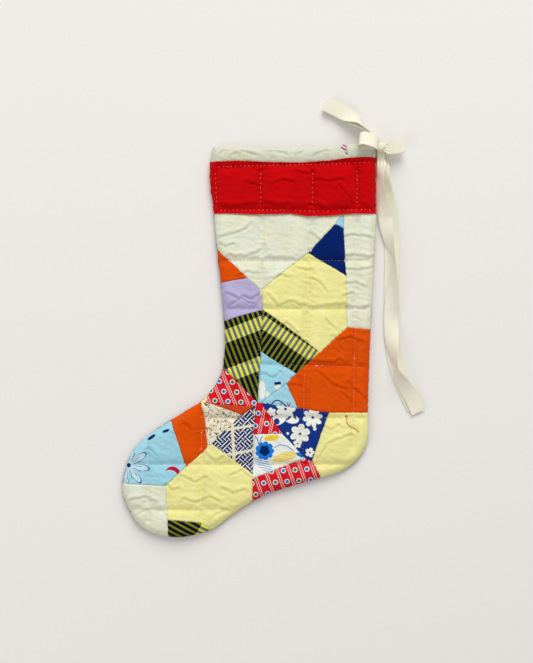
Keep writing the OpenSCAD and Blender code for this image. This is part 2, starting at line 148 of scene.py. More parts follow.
# Creases of the washed and dried quilt, as lines on its front
CREASES = [
    [(-33, 112), (-18, 115), (-4, 120), (2, 127)], [(-36, 105.5), (-26, 101.5), (-18, 103.5)],
    [(-22, 91), (-7, 90), (5.5, 93), (14, 98), (16, 103.5)], [(18, 88.7), (35, 88.3), (52, 85.7)],
    [(67.6, 116), (77, 107.7)], [(24, 66), (33, 70), (44, 67)], [(-10, 70), (-3, 73), (8, 71)],
    [(103, 112), (117, 114), (133, 111)], [(103, 90), (115, 92), (124, 90.5), (135, 89)],
    [(104, 77), (116, 75), (134, 77.5)], [(105, 60), (116, 61.5), (124, 58)],
    [(105, 35), (120, 33.5), (134, 34.5)], [(104, 47), (112, 49)],
    [(47, 82), (54, 76), (68, 75.5)],
    [(20, 48), (31, 35), (44, 41), (58, 36.5), (70, 33.5), (86, 36), (103, 38)],
    [(32, 12), (41, 17), (52, 6)], [(70, 66), (79, 60), (83, 52)], [(84, 20), (92, 12)],
    [(-25, 50), (-11, 44), (4, 38)], [(-20, 38), (-7, 46), (3, 44), (11, 49)],
    [(72, -34), (92, -51), (106, -55)], [(55, -42), (60, -53), (46, -50)],
    [(108, -47), (126, -66)], [(99, -58), (112, -69)], [(66, -24), (84, -27), (100, -24)],
    [(98, -2), (110, 2), (124, -4)], [(92, 4), (101, -12)],
    [(14, -38), (26, -43), (34, -37)], [(-18, -6), (-6, -10), (4, -6)], [(26, 2), (38, -6)],
    [(80, -96), (90, -101), (97, -95)], [(86, -116), (98, -110), (112, -106)], [(78, -128), (84, -119)],
    [(-20, -150), (-8, -144), (0, -152)], [(-76, -150), (-60, -158), (-48, -152)],
    [(-50, -124), (-40, -134), (-28, -130)], [(-72, -176), (-58, -180), (-44, -174), (-34, -178)],
    [(-30, -164), (-18, -170), (-6, -166)], [(-40, -196), (-28, -188), (-18, -192)],
    [(-132, -178), (-118, -174), (-104, -178)], [(-124, -194), (-112, -188)], [(-100, -186), (-92, -194)],
    [(-112, -120), (-102, -128)], [(-64, -100), (-72, -92)], [(-84, -104), (-80, -116)],
    [(-92, -160), (-86, -166), (-78, -164)],
    [(-33, 202), (-27, 207)], [(-8, 205.5), (6, 202)], [(19, 207), (33, 205), (41, 202)],
    [(55, 204), (66, 208)], [(72, 202), (83, 206)], [(-20, 201), (-14, 204)],
]
EDGE_ROWS = QUILT_ROWS + CUFF_ROWS
CUFF_CREASES = [
    [(-39, 186), (-12, 187.5), (10, 184.5), (30, 187)], [(50, 184), (60, 180), (70, 183)],
    [(72, 175), (86, 172.5), (102, 175)], [(-38, 147), (-20, 144.5), (6, 148)],
    [(16, 150), (30, 146), (44, 148)], [(66, 147), (80, 145)], [(98, 168), (106, 160), (112, 148)],
    [(-4, 172), (8, 168)], [(26, 170), (36, 174), (48, 172)],
]
CREASE_DEPTH = 1.0
CREASE_WIDTH = 1.0
GROOVE = 0.95  # how deep a row of stitches lies in the wadding

# Heights of the flat middle of each layer
SEAM_Z = 4.0  # where the front meets the back, all round the leg
FRONT_Z = 9.7
BACK_Z = 1.3
CUFF_LIFT = 0.8
CUFF_Y = (138, 192)  # the part of the leg that the cuff covers, where no seam shows through
MOUTH_LIP_Z = 7.5
BACK_LIP_Z = 3.2
SIDE_ROLL = 8.0  # how far in from the side the front has rolled to its full height
BACK_ROLL = 6.0
LIP_ROLL = 2.4

FRONT_LINING_Z = 7.6
BACK_LINING_Z = 3.1
LINING_T = 0.4
LINING_EDGE = 0.35  # how far each lining stays from the seam's middle at the side
LINING_REACH = 9  # how far in from the side seam the linings lie flat
FRONT_LOFT_GAP = 1.5  # how far the wadding stays under the front cloth, for its creases
BACK_LOFT_GAP = 0.25
LAYER_GAP = 0.1
TABLE_GAP = 0.02
SEAM_HALF_T = 0.9  # half the thickness of the seam allowance
LAYER_INSET = 1.1  # how far the inside layers stop short of the side seam
MOUTH_FROM_Y = 205  # the mouth's edge lies above this
SEAM_NODES = ["shin_seam", "calf_seam", "toe_seam", "heel_seam"]

# Cloth simulations: frames, pressure, how much too big the cloth is, and its bending stiffness
FRONT_SWELL = (20, 44.0, 0.035, 40.0)
BACK_SWELL = (14, 30.0, 0.02, 40.0)
CUFF_SWELL = (14, 16.0, 0.022, 20.0)
FRONT_PUFF = 3.3  # the most that the cloth stands up between the stitches
BACK_PUFF = 1.3
CUFF_PUFF = 2.4
CUFF_LOWEST = -0.3  # the lowest that the cuff may sink
STITCHED = 0.3  # nearer than this to a row, the cloth is held by its stitches

# Pinked edges of the cuff
SCALLOP_PITCH = 4.2
SCALLOP_DEPTH = 0.55
CUFF_SPACING = 2.2

# Thread
THREAD_R = 0.17
HEEL_THREAD_R = 0.28
HEEL_THREAD = [(107, -87), (106.5, -91.5), (110, -96), (116, -99), (120, -102.5)]
HEEL_KNOT = (106, -85)
TACKS = 4

# Steps of the meshes
FRONT_SPACING = 2.4
BACK_SPACING = 3.4
LAYER_SPACING = 5.5
SEAM_SPACING = 2.6
RIM_STEPS = (0.7, 1.8)  # rows of points this far inside a panel's edge
SIM_SCALE = 10  # the cloth solver is made for garments, so its form is this much bigger
CLOTH_T = 0.45

BACK_NODES = ["back_leg", "back_foot", "back_cuff", "back_hem"]
PATCH_BOTTOMS = (9.8, 10)  # every printed patch's CAD solid starts between these heights
PRINT_NODES = [
    n for n in frame["record"]["behaviour"]["bodies"]["stocking"]
    if frame["nodes"][n].data and PATCH_BOTTOMS[0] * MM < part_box(n)[0].z < PATCH_BOTTOMS[1] * MM
]


# ---------------------------------------------------------------- camera, light and table


def make_camera():
    data = bpy.data.cameras.new("camera")
    data.sensor_width = SENSOR
    distance = CAMERA_ABOVE - OBJECT_MIDDLE_Z
    data.lens = SENSOR * distance / VIEW_HEIGHT
    camera = bpy.data.objects.new("camera", data)
    camera.location = Vector((*VIEW_CENTRE, CAMERA_ABOVE)) * MM
    bpy.context.scene.collection.objects.link(camera)
    bpy.context.scene.camera = camera


def area_light(name, place, size, power, colour):
    data = bpy.data.lights.new(name, "AREA")
    data.size = size
    data.energy = power
    data.color = colour
    light = bpy.data.objects.new(name, data)
    light.location = place
    light.rotation_euler = (Vector((0, 0, 0)) - Vector(place)).to_track_quat("-Z", "Y").to_euler()
    bpy.context.scene.collection.objects.link(light)


def make_lights():
    world = bpy.data.worlds.new("studio")
    world.use_nodes = True
    background = world.node_tree.nodes["Background"]
    background.inputs["Color"].default_value = SKY_COLOUR
    background.inputs["Strength"].default_value = SKY_LIGHT
    bpy.context.scene.world = world
    bpy.context.scene.view_settings.view_transform = "Standard"
    for light in LIGHTS:
        area_light(*light)


def make_table():
    mesh = bpy.data.meshes.new("table")
    corners = [(x * TABLE_HALF, y * TABLE_HALF, 0) for x, y in ((-1, -1), (1, -1), (1, 1), (-1, 1))]
    mesh.from_pydata(corners, [], [(0, 1, 2, 3)])
    table = bpy.data.objects.new("table", mesh)
    bpy.context.scene.collection.objects.link(table)
    paint = bpy.data.materials.new("table_paint")
    paint.use_nodes = True
    shader = paint.node_tree.nodes["Principled BSDF"]
    shader.inputs["Base Color"].default_value = TABLE_COLOUR
    shader.inputs["Roughness"].default_value = 0.9
    mesh.materials.append(paint)


# ---------------------------------------------------------------- shapes in numbers


def curve_through(rows, steps):
    """Catmull-Rom curve through the rows, each of any number of columns."""
    rows = np.array(rows, float)
    out = []
    last = len(rows) - 1
    for i in range(last):
        a, b = rows[max(i - 1, 0)], rows[i]
        c, d = rows[i + 1], rows[min(i + 2, last)]
        for t in np.arange(steps) / steps:
            out.append(0.5 * (2 * b + (c - a) * t + (2 * a - 5 * b + 4 * c - d) * t**2
                              + (3 * b - a - 3 * c + d) * t**3))
    out.append(rows[-1])
    return np.array(out)


def unit(v):
    return v / np.maximum(np.linalg.norm(v, axis=-1, keepdims=True), 1e-9)


def tangents(points):
    return unit(np.concatenate([points[1:2] - points[:1], points[2:] - points[:-2],
                                points[-1:] - points[-2:-1]]))


def across_and_facing(line, tilt):
    """Unit vectors across the tape and out of its face, where it stands on edge by tilt degrees."""
    along = tangents(line)
    level = unit(np.cross([0.0, 0.0, 1.0], along))
    up = np.cross(along, level)
    turn = np.radians(tilt)[:, None]
    across = level * np.cos(turn) + up * np.sin(turn)
    return across, np.cross(along, across)


def smooth_step(x):
    x = np.clip(x, 0, 1)
    return x * x * (3 - 2 * x)


def quarter_round(x):
    """0 to 1 as a quarter circle rises: steep at first, level at the end."""
    x = np.clip(x, 0, 1)
    return np.sqrt(1 - (1 - x) ** 2)


def wobble(points, wave, seed):
    """Smooth random field from about -1 to 1: a few sines whose waves are near the given length."""
    dice = random.Random(seed)
    total = np.zeros(len(points))
    count = 6
    for _ in range(count):
        angle = dice.uniform(0, math.tau)
        length = wave * dice.uniform(0.7, 1.5)
        phase = dice.uniform(0, math.tau)
        ahead = points[:, 0] * math.cos(angle) + points[:, 1] * math.sin(angle)
        total += np.sin(ahead / length * math.tau + phase)
    return total / math.sqrt(2 * count)


def nearest_tree(points):
    """A search tree over plan points."""
    tree = KDTree(len(points))
    for number, (x, y) in enumerate(points):
        tree.insert((x, y, 0), number)
    tree.balance()
    return tree


def segment_distance(points, segments):
    """Distance from each plan point to its nearest segment, that segment's number, and the way to it."""
    best = np.full(len(points), 1e9)
    which = np.zeros(len(points), int)
    toward = np.zeros((len(points), 2))
    for number, (a, b) in enumerate(segments):
        a, b = np.array(a[:2], float), np.array(b[:2], float)
        edge = b - a
        t = np.clip((points - a) @ edge / max(edge @ edge, 1e-9), 0, 1)
        gap = a + t[:, None] * edge - points
        distance = np.hypot(gap[:, 0], gap[:, 1])
        nearer = distance < best
        best[nearer], which[nearer], toward[nearer] = distance[nearer], number, gap[nearer]
    return best, which, unit(toward)


def chain_distance(points, segments):
    """Distance from each plan point to the nearest of many short segments, and the way to it."""
    tried = 3  # how many segments with the nearest middles are measured
    starts, ends = np.array([a for a, _ in segments]), np.array([b for _, b in segments])
    middles = nearest_tree((starts + ends) / 2)
    near = np.array([[hit[1] for hit in middles.find_n((x, y, 0), tried)] for x, y in points])
    best = np.full(len(points), 1e9)
    toward = np.zeros((len(points), 2))
    for k in range(near.shape[1]):
        a, edge = starts[near[:, k]], (ends - starts)[near[:, k]]
        t = np.clip(((points - a) * edge).sum(1) / np.maximum((edge**2).sum(1), 1e-9), 0, 1)
        gap = a + t[:, None] * edge - points
        distance = np.hypot(gap[:, 0], gap[:, 1])
        nearer = distance < best
        best[nearer], toward[nearer] = distance[nearer], gap[nearer]
    return best, unit(toward)


# ---------------------------------------------------------------- meshes into pieces


def link_mesh(name, points, faces):
    """A new object from points in millimetres."""
    mesh = bpy.data.meshes.new(name)
    mesh.from_pydata((np.array(points) * MM).tolist(), [], [list(map(int, f)) for f in faces])
    mesh.validate()
    mesh.polygons.foreach_set("use_smooth", [True] * len(mesh.polygons))
    mesh.update()
    piece = bpy.data.objects.new(name, mesh)
    bpy.context.scene.collection.objects.link(piece)
    return piece


def grid_faces(rows, sides, closed):
    """Quads between rows of sides points each. A closed grid's rows are rings."""
    steps = sides if closed else sides - 1
    return [(i * sides + j, i * sides + (j + 1) % sides,
             (i + 1) * sides + (j + 1) % sides, (i + 1) * sides + j)
            for i in range(rows - 1) for j in range(steps)]


def place_tape(piece, values):
    """Writes where each vertex is across and along the tape, for its material to read."""
    layer = piece.data.attributes.new("tape", "FLOAT_VECTOR", "POINT")
    layer.data.foreach_set("vector", np.array(values, np.float32).ravel())


def thicken(piece, thickness, offset=-1.0):
    solid = piece.modifiers.new("cloth thickness", "SOLIDIFY")
    solid.thickness = thickness * MM
    solid.offset = offset
    solid.use_rim = True


SLOTS = {part["node"]: part["material_slot"] for part in frame["record"]["subparts"]}


def finish_piece(piece, body, node, material):
    """Gives a piece its material, and puts it in the place of its CAD node."""
    piece.data.materials.clear()
    piece.data.materials.append(material)
    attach(piece, body)
    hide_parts(node)


# ---------------------------------------------------------------- ribbon


def ribbon_mesh(name, line, across, facing, half_width, cup, pleats):
    """A strip with a thin closed section. cup bends it across its width, and pleats gathers it."""
    columns = 12
    edge_loss = 0.35  # the tape's edges are thinner
    u = np.linspace(-1, 1, columns + 1)
    thin = TAPE_T / 2 * (1 - edge_loss * (np.abs(u) > 0.99))
    rings = []
    coordinates = []
    run = np.concatenate([[0], np.cumsum(np.linalg.norm(np.diff(line, axis=0), axis=1))])
    for i, centre in enumerate(line):
        bow = cup[i] * (u**2 - 0.5) + pleats[i] * np.cos(u * 3 * math.pi)
        place = centre + np.outer(u * half_width[i], across[i]) + np.outer(bow, facing[i])
        lift = np.outer(thin, facing[i])
        rings.append(np.concatenate([place + lift, (place - lift)[::-1]]))
        where = np.stack([u * TAPE_W / 2, np.full(len(u), run[i]), 0 * u], axis=1)
        coordinates.append(np.concatenate([where, where[::-1]]))
    sides = 2 * len(u)
    faces = grid_faces(len(rings), sides, True)
    for end in (0, (len(rings) - 1) * sides):
        for j in range(columns):
            a, b = end + j, end + sides - 1 - j
            quad = (a, b, b - 1, a + 1)
            faces.append(quad if end == 0 else quad[::-1])
    piece = link_mesh(name, np.concatenate(rings), faces)
    place_tape(piece, np.concatenate(coordinates))
    sharpen_edges(piece)
    return piece


def sharpen_edges(piece):
    """Smooth faces, with creases only where the tape's edges turn."""
    with bpy.context.temp_override(object=piece, active_object=piece, selected_objects=[piece],
                                   selected_editable_objects=[piece]):
        bpy.ops.object.shade_smooth_by_angle(angle=math.radians(50))


def pleated(share, depth):
    """How deep the tape is gathered where it has only a share of its full width."""
    return depth * (1 - smooth_step((share - 0.55) / 0.35))


def make_tail(name, route, rest, seed):
    """A loose tail along the route of its CAD solid, standing on edge where the route says."""
    rows = curve_through(route, CORD_STEPS)
    lift = np.sin(np.radians(np.abs(rows[:, 2]))) * rows[:, 3] * TAPE_W / 2
    climb = smooth_step((rows[:, 1] - TAIL_DROP_Y) / (FRONT_ROUTE[0][1] - TAIL_DROP_Y))
    level = rest + TAIL_T / 2 + lift
    line = np.stack([rows[:, 0], rows[:, 1], level + (KNOT[2] - 1.2 - level) * climb], axis=1)
    across, facing = across_and_facing(line, rows[:, 2])
    phase = random.Random(seed).uniform(0, math.tau)
    cup = TAIL_CUP * np.sin(np.arange(len(line)) * TAIL_CUP_PACE + phase)
    half = rows[:, 3] * TAPE_W / 2
    tape = ribbon_mesh(name, line, across, facing, half, cup, pleated(rows[:, 3], TAIL_PLEATS))
    path = [tuple(p * MM) for p in line]
    length = float(np.linalg.norm(np.diff(line, axis=0), axis=1).sum()) * MM
    return tape, path, length


def make_loop(name, rows):
    """Tape folded back on itself: out along one ply, round the fold, and back along the other."""
    fine = curve_through(rows, CORD_STEPS)
    spine = fine[:, :3]
    across, facing = across_and_facing(spine, fine[:, 3])
    along = tangents(spine)
    half = fine[:, 4] * TAPE_W / 2
    gap = fine[:, 5]
    last = len(fine) - 1
    turns = np.radians(np.arange(-90, 91, 15))
    line = [spine[i] - facing[i] * gap[i] / 2 for i in range(last)]
    line += [spine[last] + (along[last] * math.cos(q) + facing[last] * math.sin(q)) * gap[last] / 2
             for q in turns]
    back = list(range(last - 1, -1, -1))
    line += [spine[i] + facing[i] * gap[i] / 2 for i in back]
    line = np.array(line)
    order = list(range(last)) + [last] * len(turns) + back
    wide = across[order]
    out = unit(np.cross(tangents(line), wide))
    pleats = pleated(fine[order, 4], LOOP_PLEATS)
    return ribbon_mesh(name, line, wide, out, half[order], 0 * pleats, pleats), line


def make_knot():
    """Tape wound once and a bit round the plies that it ties, gathered and tucked under itself."""
    around, columns = 110, 14
    points = []
    coordinates = []
    for i in range(around + 1):
        turn = i / around * KNOT_TURNS
        angle = math.tau * turn + KNOT_STARTS
        for j in range(columns + 1):
            v = 2 * j / columns - 1
            folds = 0.30 * math.cos(v * 2.5 * math.pi + 0.8 * math.sin(angle))
            barrel = 1 - 0.24 * abs(v) ** 2.5
            radius = (KNOT_R - 1.3 + 0.5 * turn + folds) * barrel
            squeeze = 1 - 0.14 * math.sin(angle + 0.4) ** 2
            x = KNOT[0] + v * KNOT_WIDE / 2 * squeeze + 0.5 * math.sin(angle * 2)
            y = KNOT[1] + radius * math.cos(angle) * KNOT_L / 2 / KNOT_R
            points.append((x, y, KNOT[2] + radius * math.sin(angle)))
            coordinates.append((v * TAPE_W / 2, turn * math.tau * KNOT_R, 0))
    faces = [(a, d, c, b) for a, b, c, d in grid_faces(around + 1, columns + 1, False)]
    knot = link_mesh("knot", points, faces)
    place_tape(knot, coordinates)
    thicken(knot, TAPE_T, offset=1.0)
    return knot, make_core()


def make_core():
    """The gathered plies inside the knot, folded along their length."""
    around, rows = 40, 9
    points = []
    for i in range(rows + 1):
        v = 2 * i / rows - 1
        for j in range(around):
            angle = math.tau * j / around
            folds = 1 + 0.08 * math.cos(angle * 7) + 0.04 * math.cos(angle * 12 + v)
            radius = (KNOT_R - 1.9) * folds * (1 - 0.12 * v**4)
            points.append((KNOT[0] + v * (KNOT_WIDE / 2 + 0.2), KNOT[1] + radius * math.cos(angle),
                           KNOT[2] + radius * math.sin(angle)))
    faces = grid_faces(rows + 1, around, True)
    for base in (0, rows * around):
        points.append(tuple(np.mean(points[base:base + around], axis=0)))
        hub = len(points) - 1
        faces += [(base + (j + 1) % around, base + j, hub) if base == 0
                  else (base + j, base + (j + 1) % around, hub) for j in range(around)]
    core = link_mesh("knot_core", points, faces)
    place_tape(core, [(y - KNOT[1], x, 0) for x, y, _ in points])
    return core


# ---------------------------------------------------------------- quilt panels


def face_outline(node):
    """The outline of a layer's upper face, from its CAD mesh, as plan points in order."""
    mesh = frame["nodes"][node].data
    points = np.array([v.co for v in mesh.vertices]) / MM
    level = points[:, 2].max() - 0.05
    names = [(round(float(p[0]), 2), round(float(p[1]), 2)) for p in points]
    edges = set()
    for face in mesh.polygons:
        corners = list(face.vertices)
        if points[corners, 2].min() > level:
            edges |= {(names[a], names[b]) for a, b in zip(corners, corners[1:] + corners[:1])}
    following = {a: b for a, b in edges if a != b and (b, a) not in edges}
    start = at = min(following)
    loop = []
    while True:
        loop.append(at)
        at = following[at]
        if at == start:
            return loop


def split_edges(loops):
    """Adds to each outline the corners of its neighbours that lie on its edges."""
    corners = np.array(sorted({p for loop in loops for p in loop}))
    out = []
    for loop in loops:
        full = []
        for a, b in zip(loop, loop[1:] + loop[:1]):
            start, edge = np.array(a), np.array(b) - np.array(a)
            long = max(np.hypot(*edge), 1e-6)
            t = (corners - start) @ edge / long**2
            off = np.abs((corners - start) @ np.array([-edge[1], edge[0]])) / long
            on = (t * long > 0.05) & ((1 - t) * long > 0.05) & (off < 0.05)
            full.append(a)
            full += [tuple(corners[k]) for k in np.flatnonzero(on)[np.argsort(t[on])]]
        out.append(full)
    return out


def steps_between(a, b, spacing):
    """Even steps from a to b, the same points in either direction."""
    if b < a:
        return steps_between(b, a, spacing)[::-1]
    count = max(1, round(math.dist(a, b) / spacing))
    return [(a[0] + (b[0] - a[0]) * i / count, a[1] + (b[1] - a[1]) * i / count)
            for i in range(count + 1)]


def border_of(faces):
    """Directed edges that belong to one face only."""
    edges = {(a, b) for f in faces for a, b in zip(f, list(f[1:]) + [f[0]])}
    return [(a, b) for a, b in edges if (b, a) not in edges]


def lattice(low, high, spacing):
    """Plan points of a triangular net, each moved a little so that no fold follows the net."""
    dice = np.random.default_rng(5)
    largest_move = 0.28
    rows = []
    row_step = spacing * math.sqrt(3) / 2
    for number, y in enumerate(np.arange(low[1], high[1], row_step)):
        x = np.arange(low[0] + spacing / 2 * (number % 2), high[0], spacing)
        rows.append(np.stack([x, np.full(len(x), y)], axis=1))
    net = np.concatenate(rows)
    return net + dice.uniform(-largest_move, largest_move, net.shape) * spacing


def rim_points(points, faces):
    """Two rows of points just inside the outer edge, where the cloth rolls down most steeply."""
    fixed = np.array(points)
    rim = []
    for a, b in border_of(faces):
        edge = unit(fixed[b] - fixed[a])
        inward = np.array([-edge[1], edge[0]])
        rim += [fixed[a] + inward * step for step in RIM_STEPS]
    return rim


def plan_mesh(loops, rows, spacing):
    """Even triangles over the outlines, with corners along each outline and each row of stitches.
    Gives the plan points, the triangles, and the number of the outline that each one lies in."""
    numbers = {}
    points = []

    def number(p):
        key = (round(float(p[0]), 2), round(float(p[1]), 2))
        if key not in numbers:
            numbers[key] = len(points)
            points.append(key)
        return numbers[key]

    faces = []
    for loop in split_edges(loops):
        steps = [steps_between(a, b, spacing)[:-1] for a, b in zip(loop, loop[1:] + loop[:1])]
        faces.append([number(p) for part in steps for p in part])
    rim = rim_points(points, faces)
    edges = []
    for a, b in rows:
        steps = [number(p) for p in steps_between(a, b, spacing)]
        edges += list(zip(steps, steps[1:]))
    fixed = np.array(points)
    rim = [p for p in rim if np.hypot(*(fixed - p).T).min() > 0.5]
    taken = np.concatenate([fixed, np.array(rim)])
    net = lattice(taken.min(axis=0), taken.max(axis=0), spacing)
    known = nearest_tree(taken)
    gaps = np.array([known.find((x, y, 0))[2] for x, y in net])
    every = np.concatenate([taken, net[gaps > spacing * 0.6]])
    within_faces, closeness = 1, 1e-4
    plan, _, triangles, _, _, inside = delaunay_2d_cdt(
        [Vector(p) for p in every], edges, faces, within_faces, closeness, True)
    owner = np.array([min(o) if o else -1 for o in inside])
    triangles = np.array([list(t) for t in triangles if len(t) == 3])
    plan = np.array([tuple(p) for p in plan])
    kept = owner >= 0
    used = np.unique(triangles[kept])
    renumber = np.full(len(plan), -1)
    renumber[used] = np.arange(len(used))
    return plan[used], renumber[triangles[kept]], owner[kept]


def blow_up(plan, triangles, held, frames, pressure, growth, bending):
    """Cloth simulation: cloth cut a little too big for the stitches that hold it, with wadding that
    presses it outward. Gives how far each point moved, in millimetres."""
    flat = np.column_stack([plan, 0 * plan[:, 0]])
    form = link_mesh("cloth_form", flat * SIM_SCALE, triangles)
    pins = form.vertex_groups.new(name="held")
    pins.add([int(i) for i in np.flatnonzero(held)], 1.0, "REPLACE")
    cloth = form.modifiers.new("cloth", "CLOTH")
    how = cloth.settings
    how.quality = 4
    how.mass = 0.2
    how.tension_stiffness = how.compression_stiffness = 12
    how.shear_stiffness = 6
    how.bending_stiffness = bending
    how.tension_damping = how.compression_damping = how.shear_damping = 8
    how.vertex_group_mass = "held"
    how.shrink_min = -growth
    how.use_pressure = True
    how.uniform_pressure_force = pressure
    how.effector_weights.gravity = 0
    cloth.collision_settings.use_collision = False
    cloth.collision_settings.use_self_collision = False
    cloth.point_cache.frame_end = frames
    scene = bpy.context.scene
    before = np.array([v.co for v in form.data.vertices])
    for step in range(1, frames + 1):
        scene.frame_set(step)
    evaluated = form.evaluated_get(bpy.context.evaluated_depsgraph_get())
    after = np.zeros(len(plan) * 3)
    evaluated.data.vertices.foreach_get("co", after)
    bpy.data.objects.remove(form)
    scene.frame_set(1)
    return (after.reshape(-1, 3) - before) / MM / SIM_SCALE


def neighbour_mean(count, faces, values):
    """Each point's mean over its neighbours in the mesh."""
    total = np.zeros_like(values)
    share = np.zeros(count)
    sides = np.array(faces)
    for k in range(sides.shape[1]):
        a, b = sides[:, k], sides[:, (k + 1) % sides.shape[1]]
        np.add.at(total, a, values[b])
        np.add.at(total, b, values[a])
        np.add.at(share, a, 1)
        np.add.at(share, b, 1)
    return total / share[:, None]


def refine(points, triangles, owner):
    """One round of Loop subdivision of the whole panel, so that neighbouring pieces still meet."""
    count = len(points)
    sides = np.sort(triangles[:, [[0, 1], [1, 2], [2, 0]]].reshape(-1, 2), axis=1)
    keys, which = np.unique(sides[:, 0] * count + sides[:, 1], return_inverse=True)
    ends = np.column_stack([keys // count, keys % count])
    far = np.zeros((len(keys), 3))
    np.add.at(far, which, points[triangles[:, [2, 0, 1]].ravel()])
    middles = points[ends].mean(axis=1)
    inner = np.bincount(which) == 2
    middles[inner] = 0.75 * middles[inner] + 0.125 * far[inner]
    moved = 0.625 * points + 0.375 * neighbour_mean(count, triangles, points)
    rim = np.unique(ends[~inner])
    moved[rim] = points[rim]
    ab, bc, ca = (which.reshape(-1, 3) + count).T
    a, b, c = triangles.T
    quarters = ((a, ab, ca), (ab, b, bc), (ca, bc, c), (ab, bc, ca))
    faces = np.stack([np.stack(f, axis=1) for f in quarters], axis=1)
    return np.concatenate([moved, middles]), faces.reshape(-1, 3), np.repeat(owner, 4)


def sort_border(plan, triangles):
    """The panel's edge as segments: those round the leg and foot, and those of the mouth."""
    side, mouth = [], []
    for a, b in border_of(triangles.tolist()):
        a, b = plan[a], plan[b]
        level = abs(b[0] - a[0]) > abs(b[1] - a[1])
        (mouth if level and min(a[1], b[1]) > MOUTH_FROM_Y else side).append((a, b))
    return side, mouth


def seams_of(triangles, owner, plan):
    """Segments between triangles of different patches."""
    holders = {}
    for number, triangle in zip(owner, triangles.tolist()):
        for a, b in zip(triangle, triangle[1:] + triangle[:1]):
            holders.setdefault((min(a, b), max(a, b)), set()).add(number)
    return [(plan[a], plan[b]) for (a, b), who in holders.items() if len(who) > 1]


class Panel:
    """One quilted side of the stocking: its plan mesh, edges, seams and rows of stitches."""

    def __init__(self, nodes, rows, spacing, front):
        self.nodes = nodes
        self.rows = rows
        self.front = front
        loops = [face_outline(n) for n in nodes]
        self.plan, self.triangles, self.owner = plan_mesh(loops, rows, spacing)
        self.side, self.mouth = sort_border(self.plan, self.triangles)
        self.seams = seams_of(self.triangles, self.owner, self.plan)

    def swell(self, how, cap):
        """How far the quilted cloth stands from the flat, after simulation and a little smoothing."""
        stitched = segment_distance(self.plan, self.rows)[0]
        edge = chain_distance(self.plan, self.side + self.mouth)[0]
        held = (edge < STITCHED) | (stitched < STITCHED)
        moved = blow_up(self.plan, self.triangles, held, *how)
        lowest = -0.6
        moved[:, 2] = cap * np.tanh(np.maximum(moved[:, 2], lowest) / cap)
        calm = neighbour_mean(len(moved), self.triangles, moved)
        return 0.55 * moved + 0.45 * calm


def edge_pull(panel, plan):
    """How far each plan point moves at the side seam: in where rows of stitches reach the edge, and
    a little in and out all along it. Every layer moves alike, so that none shows past another."""
    deepest, reach = 1.1, 7
    side, outward = chain_distance(plan, panel.side)
    gap = segment_distance(plan, EDGE_ROWS)[0]
    pull = deepest * np.exp(-(gap / reach) ** 2) * np.exp(-side / reach)
    swell = (0.3 + 0.42 * wobble(plan, 8, 61) + 0.2 * wobble(plan, 4.5, 62)) * np.exp(-side / 5)
    return outward * (swell - pull)[:, None], side, outward


def puckers(plan, rows, seed):
    """Short folds that cross each row of stitches, where the thread gathers the cloth."""
    long_fold, short_fold, row_shift = 5.3, 3.4, 37.0
    reach, thread_reach = 5.5, 0.9
    away, which, _ = segment_distance(plan, rows)
    starts = np.array([a for a, _ in rows], float)
    ways = unit(np.array([np.subtract(b, a) for a, b in rows], float))
    along = ((plan - starts[which]) * ways[which]).sum(axis=1) + row_shift * which
    drift = 1.6 * wobble(plan, 17, seed)
    folds = np.sin(along / long_fold * math.tau + drift)
    folds = folds + 0.7 * np.sin(along / short_fold * math.tau - 2 * drift)
    strength = 0.6 + 0.5 * wobble(plan, 30, seed + 1)
    fade = np.exp(-(away / reach) ** 2) - 0.55 * np.exp(-(away / thread_reach) ** 2)
    return folds * strength * fade


def crease_relief(plan, creases):
    """Sharp little valleys with a rounded fold on either side."""
    fine = []
    for line in creases:
        for a, b in zip(line, line[1:]):
            steps = steps_between(a, b, 3)
            fine += list(zip(steps, steps[1:]))
    drift = np.column_stack([wobble(plan, 15, 51), wobble(plan, 15, 52)])
    away, toward = chain_distance(plan + 0.7 * drift, fine)
    fold_at, fold_width = 3.2, 2.4
    valley = np.exp(-(away / CREASE_WIDTH) ** 2)
    fold = np.exp(-((away - fold_at) / fold_width) ** 2) * (0.7 - 0.6 * toward[:, 1])
    return CREASE_DEPTH * (fold - valley)


def seam_relief(plan, seams):
    """A valley along each seam with a soft ridge on either side, but not under the cuff."""
    away = chain_distance(plan, seams)[0]
    low, high = CUFF_Y
    y = plan[:, 1]
    bare = 1 - smooth_step((y - low) / 4) * smooth_step((high - y) / 4)
    ridge = 0.22 * np.exp(-((away - 2.1) / 1.2) ** 2)
    return (ridge - 0.55 * np.exp(-(away / 0.8) ** 2)) * bare


def panel_bulge(panel, plan, swollen):
    """How far a panel's cloth stands out from its level middle, at each plan point."""
    stitched = segment_distance(plan, panel.rows)[0]
    bulge = swollen + seam_relief(plan, panel.seams)
    bulge = bulge + GROOVE * (1 - 1.6 * np.exp(-stitched / 2.8)) + 0.42 * puckers(plan, panel.rows, 8)
    for height, wave, seed in ((0.24, 9, 4), (0.28, 24, 5), (0.12, 4.8, 6)):
        bulge = bulge + height * wobble(plan, wave, seed)
    return bulge + crease_relief(plan, CREASES) if panel.front else bulge


